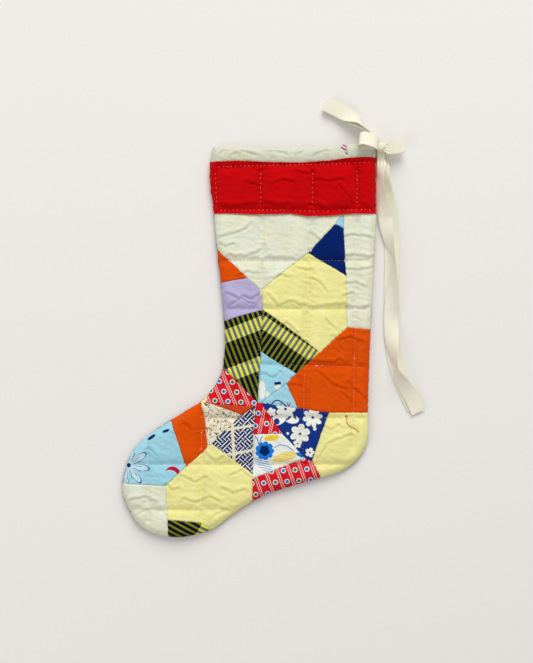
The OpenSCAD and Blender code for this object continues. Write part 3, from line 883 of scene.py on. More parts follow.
def panel_shape(panel, moved):
    """Places a panel's points: level in the middle, rolled down to the seam at the sides, and with a
    rounded lip at the mouth. Gives the refined points, faces and owners, and keeps the surface."""
    front = panel.front
    flat = np.column_stack([panel.plan + moved[:, :2], moved[:, 2]])
    points, faces, owner = refine(flat, panel.triangles, panel.owner)
    plan = points[:, :2]
    shift, side, _ = edge_pull(panel, plan)
    bulge = panel_bulge(panel, plan, points[:, 2])
    rolled = quarter_round(side / (SIDE_ROLL if front else BACK_ROLL))
    lipped = quarter_round(chain_distance(plan, panel.mouth)[0] / LIP_ROLL)
    level = FRONT_Z + bulge if front else BACK_Z - np.minimum(bulge, BACK_Z)
    lip_z = MOUTH_LIP_Z if front else BACK_LIP_Z
    z = SEAM_Z + (level - SEAM_Z) * rolled
    lip_line = lip_z + (level - lip_z) * lipped
    z = np.minimum(z, lip_line) if front else np.maximum(np.maximum(z, lip_line), TABLE_GAP)
    panel.surface = BVHTree.FromPolygons(np.column_stack([plan, z]).tolist(), faces.tolist())
    return np.column_stack([plan + shift, z]), faces, owner


def height_at(tree, plan, default):
    """Height of a surface over each plan point."""
    high = 100
    down = Vector((0, 0, -1))
    hits = [tree.ray_cast(Vector((x, y, high)), down)[0] for x, y in plan]
    return np.array([default if hit is None else hit.z for hit in hits])


def cut_piece(name, points, faces):
    """A piece from some of a panel's faces, with its own points."""
    used, inverse = np.unique(faces, return_inverse=True)
    return link_mesh(name, points[used], inverse.reshape(faces.shape))


def declare_cloth(node):
    """Works out how big a cloth piece was cut, as its CAD outline's box, and does nothing more with it."""
    low, high = np.min(face_outline(node), axis=0), np.max(face_outline(node), axis=0)


def build_panel(panel, moved, ending):
    """Makes a panel's cloth pieces, one for each CAD node, with their thickness inward. Gives their
    surface, to lay stitches on."""
    points, faces, owner = panel_shape(panel, moved)
    for number, node in enumerate(panel.nodes):
        part = faces[owner == number]
        piece = cut_piece(node + ending, points, part if panel.front else part[:, ::-1])
        finish_piece(piece, "stocking", node, cloth_material(node))
        declare_cloth(node)
        thicken(piece, CLOTH_T)
    return BVHTree.FromPolygons(points.tolist(), faces.tolist())


# ---------------------------------------------------------------- inside layers


def closed_layer(name, node, panel, spacing, low, high):
    """A closed solid over a layer's CAD outline. low and high give its heights at plan points."""
    plan, triangles, _ = plan_mesh([face_outline(node)], [], spacing)
    under, over = low(plan), high(plan)
    over = np.maximum(over, under + LAYER_GAP)
    shift, side, outward = edge_pull(panel, plan)
    plan = plan + shift - LAYER_INSET * outward * np.exp(-side / 3)[:, None]
    count = len(plan)
    points = np.concatenate([np.column_stack([plan, over]), np.column_stack([plan, under])])
    faces = triangles.tolist() + (triangles[:, ::-1] + count).tolist()
    faces += [(b, a, a + count, b + count) for a, b in border_of(triangles.tolist())]
    return link_mesh(name, points, faces)


def build_inside(front, back):
    """Wadding and linings of both panels, and the seam allowance between them."""

    def reach(plan):
        """0 at the side seam, and 1 where the linings lie flat."""
        return smooth_step((chain_distance(plan, front.side)[0] - 1) / LINING_REACH)

    def front_low(plan):
        edge = SEAM_Z + LINING_EDGE
        return edge + (FRONT_LINING_Z - edge) * reach(plan) + 0.12 * wobble(plan, 14, 21)

    def back_high(plan):
        edge = SEAM_Z - LINING_EDGE
        return edge - (edge - BACK_LINING_Z) * reach(plan) + 0.10 * wobble(plan, 14, 22)

    def over_cloth(plan):
        return height_at(front.surface, plan, FRONT_Z) - CLOTH_T - FRONT_LOFT_GAP

    def under_cloth(plan):
        return height_at(back.surface, plan, BACK_Z) + CLOTH_T + BACK_LOFT_GAP

    def seam_half(plan):
        return np.minimum(SEAM_HALF_T, reach(plan) * 3.0 + 0.15)

    wadding_gap = LINING_T + LAYER_GAP
    layers = [
        ("front_batting", "wadding_front", lambda p: front_low(p) + wadding_gap, over_cloth),
        ("front_lining", "lining_front", front_low, lambda p: front_low(p) + LINING_T),
        ("back_lining", "lining_back", lambda p: back_high(p) - LINING_T, back_high),
        ("back_batting", "wadding_back", under_cloth, lambda p: back_high(p) - wadding_gap),
    ]
    layers += [(node, node + "_edges",
                lambda p: SEAM_Z - seam_half(p), lambda p: SEAM_Z + seam_half(p))
               for node in SEAM_NODES]
    for node, name, low, high in layers:
        seam = node in SEAM_NODES
        piece = closed_layer(name, node, front, SEAM_SPACING if seam else LAYER_SPACING, low, high)
        finish_piece(piece, "stocking", node, cloth_material(node))
        if "lining" in node:
            declare_cloth(node)


# ---------------------------------------------------------------- cuff


def scalloped(loop, pitch, depth):
    """The cuff's outline with pinked edges along its top and bottom."""
    shortest, points_each = 0.2, 5
    out = []
    run = 0.0
    for a, b in zip(loop, loop[1:] + loop[:1]):
        a, b = np.array(a), np.array(b)
        edge = b - a
        long = float(np.hypot(*edge))
        if abs(edge[0]) < abs(edge[1]) or long < shortest:
            out.append(tuple(a))
            continue
        inward = np.array([-edge[1], edge[0]]) / long
        steps = max(1, round(long / (pitch / points_each)))
        for k in range(steps):
            along = run + long * k / steps
            dip = depth * (1 - abs(math.sin(math.pi * along / pitch)))
            out.append(tuple(a + edge * k / steps + inward * dip))
        run += long
    return out


def cuff_swell(front, plan, triangles):
    """How far the band stands from the quilt between its stitches, from its own simulation."""
    stitched = segment_distance(plan, CUFF_ROWS)[0]
    held = (stitched < STITCHED) | (chain_distance(plan, front.side)[0] < STITCHED)
    moved = blow_up(plan, triangles, held, *CUFF_SWELL)
    own = CUFF_PUFF * np.tanh(np.maximum(moved[:, 2], CUFF_LOWEST) / CUFF_PUFF)
    return 0.5 * own + 0.5 * neighbour_mean(len(own), triangles, own[:, None])[:, 0]


def build_cuff(front):
    """The red band over the top of the quilt. Gives its surface, to lay stitches on."""
    loop = scalloped(face_outline("cuff_band"), SCALLOP_PITCH, SCALLOP_DEPTH)
    plan, triangles, owner = plan_mesh([loop], CUFF_ROWS, CUFF_SPACING)
    own = cuff_swell(front, plan, triangles)
    points, faces, _ = refine(np.column_stack([plan, own]), triangles, owner)
    plan = points[:, :2]
    shift, away, outward = edge_pull(front, plan)
    relief = 0.30 * puckers(plan, CUFF_ROWS, 18) + 0.2 * wobble(plan, 10, 19)
    relief = relief + crease_relief(plan, CUFF_CREASES)
    over = CUFF_LIFT + np.maximum(points[:, 2] + relief, CUFF_LOWEST)
    over = over * (0.4 + 0.6 * quarter_round(away / SIDE_ROLL))
    tucked = 0.9 * np.exp(-away / 0.6)  # the band's end turns down over the side seam
    z = height_at(front.surface, plan, SEAM_Z) + over - tucked
    shift += outward * (0.85 * np.exp(-away / 2.5))[:, None]
    points = np.column_stack([plan + shift, z])
    cuff = link_mesh("cuff", points, faces)
    finish_piece(cuff, "stocking", "cuff_band", cloth_material("cuff_band"))
    declare_cloth("cuff_band")
    thicken(cuff, CLOTH_T)
    return BVHTree.FromPolygons(points.tolist(), faces.tolist())


# ---------------------------------------------------------------- thread


def tube(line, radius, sides=6):
    """Points and faces of a round thread along a line, with closed ends."""
    line = np.array(line, float)
    along = tangents(line)
    level = unit(np.cross([0.0, 0.0, 1.0], along) + 1e-6)
    up = np.cross(along, level)
    points = []
    for centre, a, b in zip(line, level, up):
        for k in range(sides):
            angle = math.tau * k / sides
            points.append(centre + (a * math.cos(angle) + b * math.sin(angle)) * radius)
    faces = grid_faces(len(line), sides, True)
    faces.append(tuple(range(sides))[::-1])
    faces.append(tuple(range(len(points) - sides, len(points))))
    return points, faces


def joined(parts):
    """Several meshes as the points and faces of one."""
    points, faces = [], []
    for more, shapes in parts:
        faces += [tuple(i + len(points) for i in f) for f in shapes]
        points += [tuple(p) for p in more]
    return points, faces


def running_stitches(name, node, rows, tree, pitch, length, seed):
    """Short stitches that come up out of the cloth and go down into it again, along the rows."""
    dips = np.array([-0.35, 0.04, 0.14, 0.04, -0.35])  # height over the cloth, along a stitch
    dice = random.Random(seed)
    parts = []
    for a, b in rows:
        a, b = np.array(a, float), np.array(b, float)
        run = float(np.hypot(*(b - a)))
        ahead = (b - a) / run
        aside = np.array([-ahead[1], ahead[0]])
        count = int(run / pitch)
        for k in range(count):
            middle = a + ahead * (k + 0.5 + dice.uniform(-0.12, 0.12)) * run / count
            middle = middle + aside * dice.uniform(-0.3, 0.3)
            half = length / 2 * dice.uniform(0.8, 1.2)
            lean = aside * dice.uniform(-0.12, 0.12)
            plan = [middle + (ahead + lean) * half * t for t in (-1, -0.6, 0, 0.6, 1)]
            ground = height_at(tree, plan, np.nan)
            if np.isnan(ground).any():
                continue
            parts.append(tube(np.column_stack([plan, ground + dips]), THREAD_R))
    piece = link_mesh(name, *joined(parts))
    finish_piece(piece, "stocking", node, thread_material(node))


def build_heel_thread(tree):
    """A red thread left on the heel: a small knot, and its loose end on the cloth."""
    rows = curve_through(HEEL_THREAD, CORD_STEPS)
    ground = height_at(tree, rows, FRONT_Z)
    parts = [tube(np.column_stack([rows, ground + HEEL_THREAD_R + 0.15]), HEEL_THREAD_R)]
    turns = np.linspace(0, 3 * math.tau, 60)
    knot = np.array([HEEL_KNOT[0] + 1.0 * np.cos(turns), HEEL_KNOT[1] + 0.8 * np.sin(turns * 0.97),
                     height_at(tree, [HEEL_KNOT], FRONT_Z)[0] + 0.35 + 0.25 * np.sin(turns * 1.7)]).T
    parts.append(tube(knot, HEEL_THREAD_R))
    piece = link_mesh("loose_thread", *joined(parts))
    finish_piece(piece, "stocking", "heel_thread", thread_material("heel_thread"))


def build_tacking():
    """Threads that hold the knot to the corner of the leg."""
    low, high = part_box("ribbon_tacking")
    parts = []
    for k in range(TACKS):
        z = low.z / MM + (high.z - low.z) / MM * (k + 0.5) / TACKS
        y = KNOT[1] + 0.5 * (k - 1.5)
        ends = [(low.x / MM - 1.6, y + 0.4, z - 0.8), (low.x / MM - 0.2, y, z),
                (high.x / MM, y, z), (high.x / MM + 0.9, y - 0.3, z + 0.3)]
        parts.append(tube(curve_through(ends, 3), THREAD_R))
    piece = link_mesh("tacking_threads", *joined(parts))
    finish_piece(piece, "stocking", "ribbon_tacking", thread_material("ribbon_tacking"))


# ---------------------------------------------------------------- material nodes


BUMP_STRENGTH = 0.8
CLOTH_GLOSS = 0.05
FUZZ_SPREAD = 0.6
FADING = 0.22  # how much washing has changed the colour from place to place
# painted shade: how much lighter the cloth's colour is on its raised crinkles, and darker in their hollows
CRINKLE_PAINTED_SHADE = 0.10
THREAD_SHADE = 0.06
THREAD_RELIEF = 0.12
THREAD_PLY = 0.35
CHEVRON = 4.0  # the tape's herringbone: the width of a chevron, a rib, and the firm edge
TAPE_RIB = 0.9
SELVAGE = 0.7


def srgb(r, g, b):
    """Colour values as a screen shows them, from 0 to 255, as the linear ones that nodes take."""
    parts = [v / 255 for v in (r, g, b)]
    return (*[v / 12.92 if v <= 0.04045 else ((v + 0.055) / 1.055) ** 2.4 for v in parts], 1)


def operator(kind, swapped=False):
    """An arithmetic operator for Number that makes a math node of this kind."""
    def make_node(self, other):
        values = (other, self) if swapped else (self, other)
        return self.net.math(kind, *values)

    return make_node


class Number:
    """A number inside a material. Arithmetic on it makes math nodes."""

    def __init__(self, net, socket):
        self.net = net
        self.socket = socket

    def __abs__(self):
        return self.net.math("ABSOLUTE", self)

    def __neg__(self):
        return self.net.math("MULTIPLY", self, -1.0)

    __add__ = operator("ADD")
    __radd__ = operator("ADD", True)
    __sub__ = operator("SUBTRACT")
    __rsub__ = operator("SUBTRACT", True)
    __mul__ = operator("MULTIPLY")
    __rmul__ = operator("MULTIPLY", True)
    __truediv__ = operator("DIVIDE")


class Net:
    """A material under construction."""

    def __init__(self, name):
        self.material = bpy.data.materials.new(name)
        self.material.use_nodes = True
        self.tree = self.material.node_tree
        self.shader = self.tree.nodes["Principled BSDF"]

    def feed(self, socket, value):
        """Put a number, a colour, or another node's output on a socket."""
        value = value.socket if isinstance(value, Number) else value
        if isinstance(value, bpy.types.NodeSocket):
            self.tree.links.new(value, socket)
        else:
            socket.default_value = value

    def node(self, kind, *values, **settings):
        """A new node, with its settings, and with values on its first inputs."""
        node = self.tree.nodes.new("ShaderNode" + kind)
        for name, value in settings.items():
            setattr(node, name, value)
        for socket, value in zip(node.inputs, values):
            self.feed(socket, value)
        return node

    def math(self, kind, *values):
        return Number(self, self.node("Math", *values, operation=kind).outputs[0])

    def place(self):
        """Where the surface is in the frame, in millimetres."""
        return self.split(self.node("TexCoord").outputs["Object"], 1 / MM)

    def tape_place(self):
        """Across and along the tape, in millimetres, from its mesh."""
        return self.split(self.node("Attribute", attribute_name="tape").outputs["Vector"], 1.0)

    def split(self, vector, scale):
        parts = self.node("SeparateXYZ", vector)
        return [Number(self, parts.outputs[k]) * scale for k in range(3)]

    def vector(self, x, y, z):
        return self.node("CombineXYZ", x, y, z).outputs[0]

    def noise(self, x, y, z, wave, detail=2.0):
        """Smooth noise from 0 to 1 whose lumps are about wave millimetres."""
        node = self.node("TexNoise")
        self.feed(node.inputs["Vector"], self.vector(x, y, z))
        node.inputs["Scale"].default_value = 1 / wave
        node.inputs["Detail"].default_value = detail
        return Number(self, node.outputs[0])

    def chance(self, x, y):
        """A different even random number for every pair of whole numbers."""
        node = self.node("TexWhiteNoise")
        self.feed(node.inputs["Vector"], self.vector(x, y, 0.5))
        return Number(self, node.outputs["Value"])

    def mix(self, mask, low, high):
        """The colour low where mask is 0, and high where it is 1."""
        node = self.node("Mix", mask, data_type="RGBA")
        self.feed(node.inputs[6], low)
        self.feed(node.inputs[7], high)
        return node.outputs[2]

    def shade(self, colour, factor):
        """A colour times a number."""
        if not isinstance(colour, bpy.types.NodeSocket):
            colour = colour[:3]
        node = self.node("VectorMath", colour, operation="SCALE")
        self.feed(node.inputs["Scale"], factor)
        return node.outputs[0]

    def above(self, value, edge, soft=0.3):
        """1 where value is over edge, 0 where it is under, with a soft edge."""
        node = (value - edge) / soft + 0.5
        node.socket.node.use_clamp = True
        return node

    def below(self, value, edge, soft=0.3):
        return self.above(-value, -edge, soft)

    def band(self, value, low, high, soft=0.3):
        return self.math("MULTIPLY", self.above(value, low, soft), self.below(value, high, soft))

    def either(self, *masks):
        out = masks[0]
        for mask in masks[1:]:
            out = self.math("MAXIMUM", out, mask)
        return out

    def fract(self, value):
        return self.math("FRACT", value)

    def sine(self, value):
        return self.math("SINE", value)

    def turned(self, x, y, cx, cy, degrees):
        """Coordinates about a centre, turned: along the direction of degrees, and across it."""
        c, s = math.cos(math.radians(degrees)), math.sin(math.radians(degrees))
        x, y = x - cx, y - cy
        return x * c + y * s, y * c - x * s

    def long(self, x, y):
        return self.math("SQRT", x * x + y * y)

    def spot(self, x, y, cx, cy, radius, soft=0.3):
        return self.below(self.long(x - cx, y - cy), radius, soft)

    def oval(self, x, y, cx, cy, a, b, degrees=0.0):
        u, v = self.turned(x, y, cx, cy, degrees)
        return self.below(self.long(u / a, v / b), 1.0, 0.5 / min(a, b))

    def bloom(self, x, y, cx, cy, radius, petals, turn=0.0, depth=0.45):
        """A flower's outline of round petals, cut in by a share depth of its radius."""
        roundness = 0.6
        u, v = self.turned(x, y, cx, cy, turn)
        lobe = abs(self.math("COSINE", self.math("ARCTAN2", v, u) * (petals / 2)))
        edge = self.math("POWER", lobe, roundness) * (radius * depth) + radius * (1 - depth)
        return self.below(self.long(u, v) - edge, 0.0, 0.4)

    def stroke(self, x, y, a, b, width):
        """A straight mark from a to b."""
        long = math.dist(a, b)
        turn = math.degrees(math.atan2(b[1] - a[1], b[0] - a[0]))
        u, v = self.turned(x, y, a[0], a[1], turn)
        over = self.math("MAXIMUM", self.math("MAXIMUM", -u, u - long), 0.0)
        return self.below(self.long(over, v), width / 2, 0.35)

    def line(self, x, y, points, width):
        return self.either(*[self.stroke(x, y, a, b, width) for a, b in zip(points, points[1:])])

    def finish(self, colour, height, depth, roughness=0.92, fuzz=0.02):
        """Colour, a relief of depth millimetres, and a soft fibrous surface."""
        self.feed(self.shader.inputs["Base Color"], colour)
        self.shader.inputs["Roughness"].default_value = roughness
        self.shader.inputs["Specular IOR Level"].default_value = CLOTH_GLOSS
        self.shader.inputs["Sheen Weight"].default_value = fuzz
        self.shader.inputs["Sheen Roughness"].default_value = FUZZ_SPREAD
        bump = self.node("Bump")
        bump.inputs["Strength"].default_value = BUMP_STRENGTH
        bump.inputs["Distance"].default_value = depth * MM
        self.feed(bump.inputs["Height"], height)
        self.feed(self.shader.inputs["Normal"], bump.outputs["Normal"])
        return self.material


def woven(net, x, y, z, colour, slub=0.10, pitch=0.62):
    """Plain weave over a colour: threads over and under, uneven thickness, a little fading, and painted
    shade that makes the raised crinkles lighter and their hollows darker.
    """
    warp = net.sine(x * (math.tau / pitch))
    weft = net.sine(y * (math.tau / pitch))
    weave = warp * weft * 0.5 + 0.5
    slubs = net.noise(x * 0.12, y, z, 0.9, 1.0) + net.noise(x, y * 0.12, z, 0.9, 1.0)
    worn = net.noise(x, y, z, 22.0, 4.0)
    crinkle = net.noise(x, y, z, 3.6, 3.0)
    # the crinkle term is painted shade: lighter where the crinkle relief rises, darker where it sinks
    tone = 1.0 - slub + slubs * slub + (worn - 0.5) * FADING + (crinkle - 0.5) * CRINKLE_PAINTED_SHADE
    tone = tone + weave * THREAD_SHADE
    return net.shade(colour, tone), weave * THREAD_RELIEF + slubs * THREAD_RELIEF + crinkle


CREAM = srgb(238, 232, 152)
SKY = srgb(160, 212, 228)
NAVY = srgb(4, 34, 102)
INK = srgb(22, 40, 104)
ORANGE = srgb(222, 80, 4)
LAVENDER = srgb(184, 176, 214)
RED = srgb(198, 2, 8)
PRINT_RED = srgb(214, 24, 40)
WINE = srgb(86, 14, 26)
BRICK = srgb(206, 70, 26)
PINK = srgb(150, 52, 84)
PALE = srgb(234, 236, 226)
GREY = srgb(104, 112, 124)
YELLOW = srgb(230, 226, 78)
OLIVE = srgb(122, 130, 28)
NIGHT = srgb(10, 12, 34)
BLUE = srgb(24, 122, 214)
GREEN = srgb(30, 120, 90)
CRIMSON = srgb(192, 14, 62)
TAPE = srgb(250, 247, 226)


def plain(colour):
    return lambda net, x, y: colour


def cream_ticks(net, x, y):
    """Cream yellow with a fine slanting tick, as of a printed twill."""
    u, v = net.turned(x, y, 0, 0, 38)
    ticks = net.band(net.fract(u / 1.5), 0.3, 0.7, 0.2) * net.band(net.fract(v / 2.3), 0.15, 0.75, 0.2)
    return net.mix(ticks * 0.35, CREAM, srgb(250, 246, 196))


def slubby_white(net, x, y):
    """White with uneven threads and a few creamy specks."""
    streaks = net.noise(x * 0.10, y, 0.0, 1.4, 2.0) * net.noise(x, y * 0.10, 0.0, 1.4, 2.0)
    fresh = net.mix(net.above(streaks, 0.28, 0.3) * 0.5, srgb(226, 230, 209), srgb(234, 238, 224))
    aged = net.noise(x, y, 30.0, 18.0, 2.0)
    return net.mix(net.above(aged, 0.5, 0.2) * 0.5, fresh, srgb(230, 227, 194))


def bars(net, x, y, turn, start, light):
    """Woven stripes that change colour where they cross the light bands."""
    period, yellow, olive = 5.7, 1.42, 1.14
    s, _ = net.turned(x, y, 0, 0, turn)
    away = abs(net.fract((s - start) / period + 0.5) - 0.5) * period
    pale = net.mix(net.below(away, yellow), GREY, YELLOW)
    dark = net.mix(net.below(away, olive), NIGHT, OLIVE)
    return net.mix(light, dark, pale)


def stripes_left(net, x, y):
    _, w = net.turned(x, y, 0, 0, 21)
    light = net.either(net.band(w, 4.9, 19.1), net.band(w, -36.3, -21.7))
    return bars(net, x, y, 21, -15.8, light)


def stripes_right(net, x, y):
    _, w = net.turned(x, y, 0, 0, -34)
    return bars(net, x, y, -34, 2.0, net.band(w, 16.7, 30.2))


def stripes_toe(net, x, y):
    _, w = net.turned(x, y, -72, -203, 61)
    ends = net.either(net.below(w, -17, 0.4), net.above(w, 21, 0.4))
    return bars(net, x, y, 61, 1.0, ends)


def dots(origin, a, b):
    """Red ground with rows of ringed dots, and wavy white lines between the rows."""
    ring, centre = 2.8, 1.85  # radii of a dot and of its coloured middle
    wave, swing, spread, half_line = 3.0, 0.45, 1.15, 0.30  # the wavy lines between the rows
    det = a[0] * b[1] - a[1] * b[0]
    a_long = math.hypot(*a)

    def paint(net, x, y):
        u, v = x - origin[0], y - origin[1]
        i = (u * b[1] - v * b[0]) / det
        j = (v * a[0] - u * a[1]) / det
        whole = net.math("FLOOR", j + 0.5)
        near_i, near_j = net.fract(i + 0.5) - 0.5, net.fract(j + 0.5) - 0.5
        away = net.long(near_i * a[0] + near_j * b[0], near_i * a[1] + near_j * b[1])
        odd = net.above(net.fract(whole / 2), 0.25, 0.01)
        across = (net.fract(j) - 0.5) * (abs(det) / a_long)
        bend = net.sine(i * (a_long * math.tau / wave)) * swing
        lines = net.below(abs(abs(across + bend) - spread), half_line)
        colour = net.mix(lines, PRINT_RED, PALE)
        colour = net.mix(net.below(away, ring), colour, PALE)
        return net.mix(net.below(away, centre), colour, net.mix(odd, BLUE, GREEN))

    return paint


def maze(net, x, y):
    """Blue ground with short white slanting strokes, crossed by cream strips."""
    pitch, half_stroke = 5.0, 0.16
    u, v = (x + y) / pitch, (x - y) / pitch
    pick = net.above(net.chance(net.math("FLOOR", u), net.math("FLOOR", v)), 0.5, 0.01)
    one = net.below(abs(net.fract(u) - 0.5), half_stroke, 0.1) * pick
    two = net.below(abs(net.fract(v) - 0.5), half_stroke, 0.1) * (1.0 - pick)
    colour = net.mix(net.either(one, two), INK, PALE)
    strips = net.either(net.stroke(x, y, (-19.7, -85), (-17.0, -136), 3.3),
                        net.stroke(x, y, (-32, -100.8), (9, -94.1), 2.9),
                        net.stroke(x, y, (-32, -128.4), (9, -121.3), 2.9))
    return net.mix(strips, colour, srgb(232, 224, 196))


def blossoms(net, x, y):
    """Blue ground with white daisies."""
    x = x + (net.noise(x, y, 0.0, 6.0) - 0.5) * 1.6
    y = y + (net.noise(x, y, 9.0, 6.0) - 0.5) * 1.6
    ground = srgb(22, 52, 132)
    daisies = [(69, -86.4, 11, 8, 10), (55.3, -104.4, 11.2, 6, 20), (39.5, -76.8, 11, 7, 0),
               (23.6, -80.5, 5.4, 5, 30), (66, -124.7, 5.4, 5, 0), (52.4, -115, 4.8, 5, 15)]
    white = net.either(
        *[net.bloom(x, y, *daisy) for daisy in daisies],
        net.spot(x, y, 71.2, -98.5, 2.0), net.spot(x, y, 41.7, -103.7, 1.5),
        net.oval(x, y, 31, -89, 9, 5.5, 20), net.oval(x, y, 46, -88, 8, 5, -10))
    colour = net.mix(white, ground, PALE)
    marks = net.either(
        *[net.spot(x, y, cx, cy, 1.5) for cx, cy, *_ in daisies[:3]],
        net.oval(x, y, 42.4, -87.1, 3.6, 1.5, 40), net.oval(x, y, 49.4, -84.9, 3.4, 1.4, 110),
        net.spot(x, y, 29.5, -90.8, 3.3), net.spot(x, y, 66, -124.7, 1.0), net.spot(x, y, 52.4, -115, 0.9))
    return net.mix(marks, colour, ground)


def bells(net, x, y):
    """Pale ground with one big blue flower, and yellow and blue leaves."""
    x = x + (net.noise(x, y, 2.0, 5.0) - 0.5) * 1.2
    y = y + (net.noise(x, y, 7.0, 5.0) - 0.5) * 1.2
    colour = net.mix(net.bloom(x, y, 16.3, -122.8, 10.6, 9, 0, 0.22), PALE, BLUE)
    colour = net.mix(net.bloom(x, y, 16.3, -122.8, 5.8, 5, 54, 0.2), colour, NAVY)
    petal = net.oval(x, y, 24, -108.6, 8.4, 3.2, 8)
    colour = net.mix(petal, colour, srgb(240, 206, 60))
    u, v = net.turned(x, y, 38.4, -129.8, 15)
    veins = net.band(net.fract((v + u * 0.5) / 3.0), 0.38, 0.62, 0.15)
    leaf = net.oval(x, y, 38.4, -129.8, 14, 5, 15)
    colour = net.mix(leaf, colour, net.mix(veins, srgb(240, 210, 70), PALE))
    u, v = net.turned(x, y, 14.8, -137.9, -35)
    lines = net.band(net.fract((v - u * 0.4) / 2.6), 0.35, 0.65, 0.15)
    low_leaf = net.oval(x, y, 14.8, -137.9, 11, 5.5, -35)
    colour = net.mix(low_leaf * lines, colour, BLUE)
    stems = net.either(net.line(x, y, [(6, -107), (8.5, -110), (9.5, -115)], 1.1),
                       net.line(x, y, [(14, -107), (12, -110), (11.5, -113.5)], 0.9),
                       net.line(x, y, [(27, -119), (33, -116), (42, -118), (48, -123)], 1.0))
    colour = net.mix(stems, colour, BLUE)
    return net.mix(net.oval(x, y, 56, -127.6, 5.5, 2.2, -25), colour, BLUE)


def sprigs(net, x, y):
    """Cream with thin dark scribbled stems, green blots, and yellow dots."""
    a = net.noise(x, y, 3.0, 7.0, 1.0)
    lines = net.below(abs(a - 0.5), 0.014, 0.014)
    b = net.noise(x, y, 8.0, 6.0, 1.0)
    more = net.below(abs(b - 0.46), 0.011, 0.012)
    colour = net.mix(net.either(lines, more), srgb(236, 230, 206), srgb(120, 88, 100))
    blots = net.above(net.noise(x, y, 13.0, 4.2, 1.0), 0.66, 0.03)
    colour = net.mix(blots, colour, srgb(70, 110, 92))
    points = net.above(net.noise(x, y, 17.0, 3.0, 0.0), 0.74, 0.03)
    return net.mix(points, colour, srgb(232, 192, 62))


def hem_white(net, x, y):
    """The greyer white of the hem."""
    return net.shade(slubby_white(net, x, y), 0.86)


def pink_lines(net, x, y):
    """Pale pink with wine lines."""
    u, _ = net.turned(x, y, 98, 214, 62)
    return net.mix(net.band(net.fract(u / 3.4), 0.15, 0.6, 0.15), srgb(236, 214, 214), PINK)


def brick_marks(net, x, y):
    """Rust with small pale dashes."""
    u, v = net.turned(x, y, 0, 0, -28)
    dash = net.band(net.fract(u / 3.1), 0.3, 0.6, 0.1) * net.band(net.fract(v / 3.4), 0.4, 0.6, 0.1)
    return net.mix(dash * 0.5, BRICK, srgb(236, 150, 110))


def sky_upper(net, x, y):
    """Light blue with a white petal and a dark bar of a bigger print."""
    white = net.either(net.oval(x, y, 13.4, -55.8, 3.8, 10.5), net.oval(x, y, 20.5, -63, 2.6, 6.0, 20))
    colour = net.mix(white, SKY, PALE)
    u, v = net.turned(x, y, 30.6, -48.7, 10)
    bar = net.band(u, -3.6, 3.6) * net.band(v, -1.5, 1.5)
    colour = net.mix(net.oval(x, y, 31.2, -53.3, 3.4, 2.6), colour, srgb(240, 232, 200))
    return net.mix(bar, colour, NAVY)


def sky_lower(net, x, y):
    """Light blue with a dark arc, curls, and a small pink mark."""
    arc = net.line(x, y, [(24.5, -71), (27.3, -67.9), (31, -67.4), (35.5, -69.6), (39.9, -73.8)], 1.3)
    curls = net.either(net.line(x, y, [(17, -73), (19.5, -70.8), (21.5, -72.6), (20, -75)], 1.0),
                       net.line(x, y, [(10, -66), (12.6, -68.5), (12, -71.5)], 1.0))
    colour = net.mix(net.either(arc, curls), SKY, NAVY)
    pink = net.line(x, y, [(41, -70), (42.6, -74), (44.6, -70.4)], 1.1)
    colour = net.mix(pink, colour, CRIMSON)
    return net.mix(net.line(x, y, [(33.2, -70.8), (34, -72.4), (36, -70.6)], 0.8), colour, GREEN)


def sky_toe(net, x, y):
    """Light blue with an outlined dark flower and a crimson crescent."""
    x = x + (net.noise(x, y, 5.0, 9.0) - 0.5) * 2.4
    centre = (-133.1, -138.9)
    u, v = x - centre[0], y - centre[1]
    angle = net.math("ARCTAN2", v, u)
    turn = 0.7
    lobe = abs(net.math("COSINE", angle * 4.0 + turn))
    edge = net.math("POWER", lobe, 1.3) * 18.0 + 5.0
    away = net.long(u, v)
    rim = net.below(abs(away - edge), 0.75, 0.4)
    rays = net.below(abs(net.sine(angle * 8.0 + turn)), 0.16, 0.12) * net.band(away, 3.0, 15.0)
    petals = net.below(away - edge, 0.0, 0.4)
    colour = net.mix(petals * 0.55, SKY, srgb(214, 230, 236))
    colour = net.mix(net.either(rim, rays, net.spot(x, y, *centre, 2.4)), colour, NAVY)
    moon = net.spot(x, y, -84.5, -149.0, 8.8) * (1.0 - net.spot(x, y, -87.4, -152.6, 8.8))
    colour = net.mix(moon, colour, CRIMSON)
    bits = net.either(net.oval(x, y, -108, -108, 5, 1.8, 35), net.oval(x, y, -92, -101, 4, 1.6, 20))
    return net.mix(bits, colour, NAVY)


PRINTS = {
    "white_cotton": slubby_white, "sky_cotton": plain(SKY), "navy_cotton": plain(NAVY),
    "cream_cotton": cream_ticks, "orange_cotton": plain(ORANGE), "lavender_cotton": plain(LAVENDER),
    "brick_cotton": brick_marks, "blossom_cotton": blossoms, "bell_cotton": bells,
    "sprig_cotton": sprigs, "lattice_cotton": maze, "pink_cotton": pink_lines, "red_cotton": plain(RED),
    "wine_cotton": plain(WINE), "lining_cotton": plain(srgb(226, 218, 196)),
    "stripe_left": stripes_left, "stripe_right": stripes_right, "stripe_toe": stripes_toe,
    "ankle_print": dots((-33.3, -46.6), (4.7, -11.0), (14.3, -0.8)),
    "sole_print": dots((36.9, -144.6), (4.2, -11.9), (12.9, 0.8)),
    "wedge_print": dots((6.3, -95.6), (3.0, 14.0), (12.2, 2.6)),
    "hem_band": hem_white, "back_hem": hem_white,
    "sky_triangle": sky_upper, "sky_lower": sky_lower, "sky_toe": sky_toe,
}
SLUBS = {"white_cotton": 0.07, "cream_cotton": 0.07, "lining_cotton": 0.12}
MADE = {}


def cloth_material(node):
    """The cotton that a CAD node's piece is cut from."""
    slot = SLOTS[node]
    kind = node if node in PRINTS else slot
    if kind not in MADE:
        MADE[kind] = wadding() if slot == "batting" else cotton(kind, SLUBS.get(slot, 0.05))
    return MADE[kind]


def cotton(kind, slub):
    net = Net(kind)
    x, y, z = net.place()
    colour, relief = woven(net, x, y, z, PRINTS[kind](net, x, y), slub)
    return net.finish(colour, relief, 0.75)


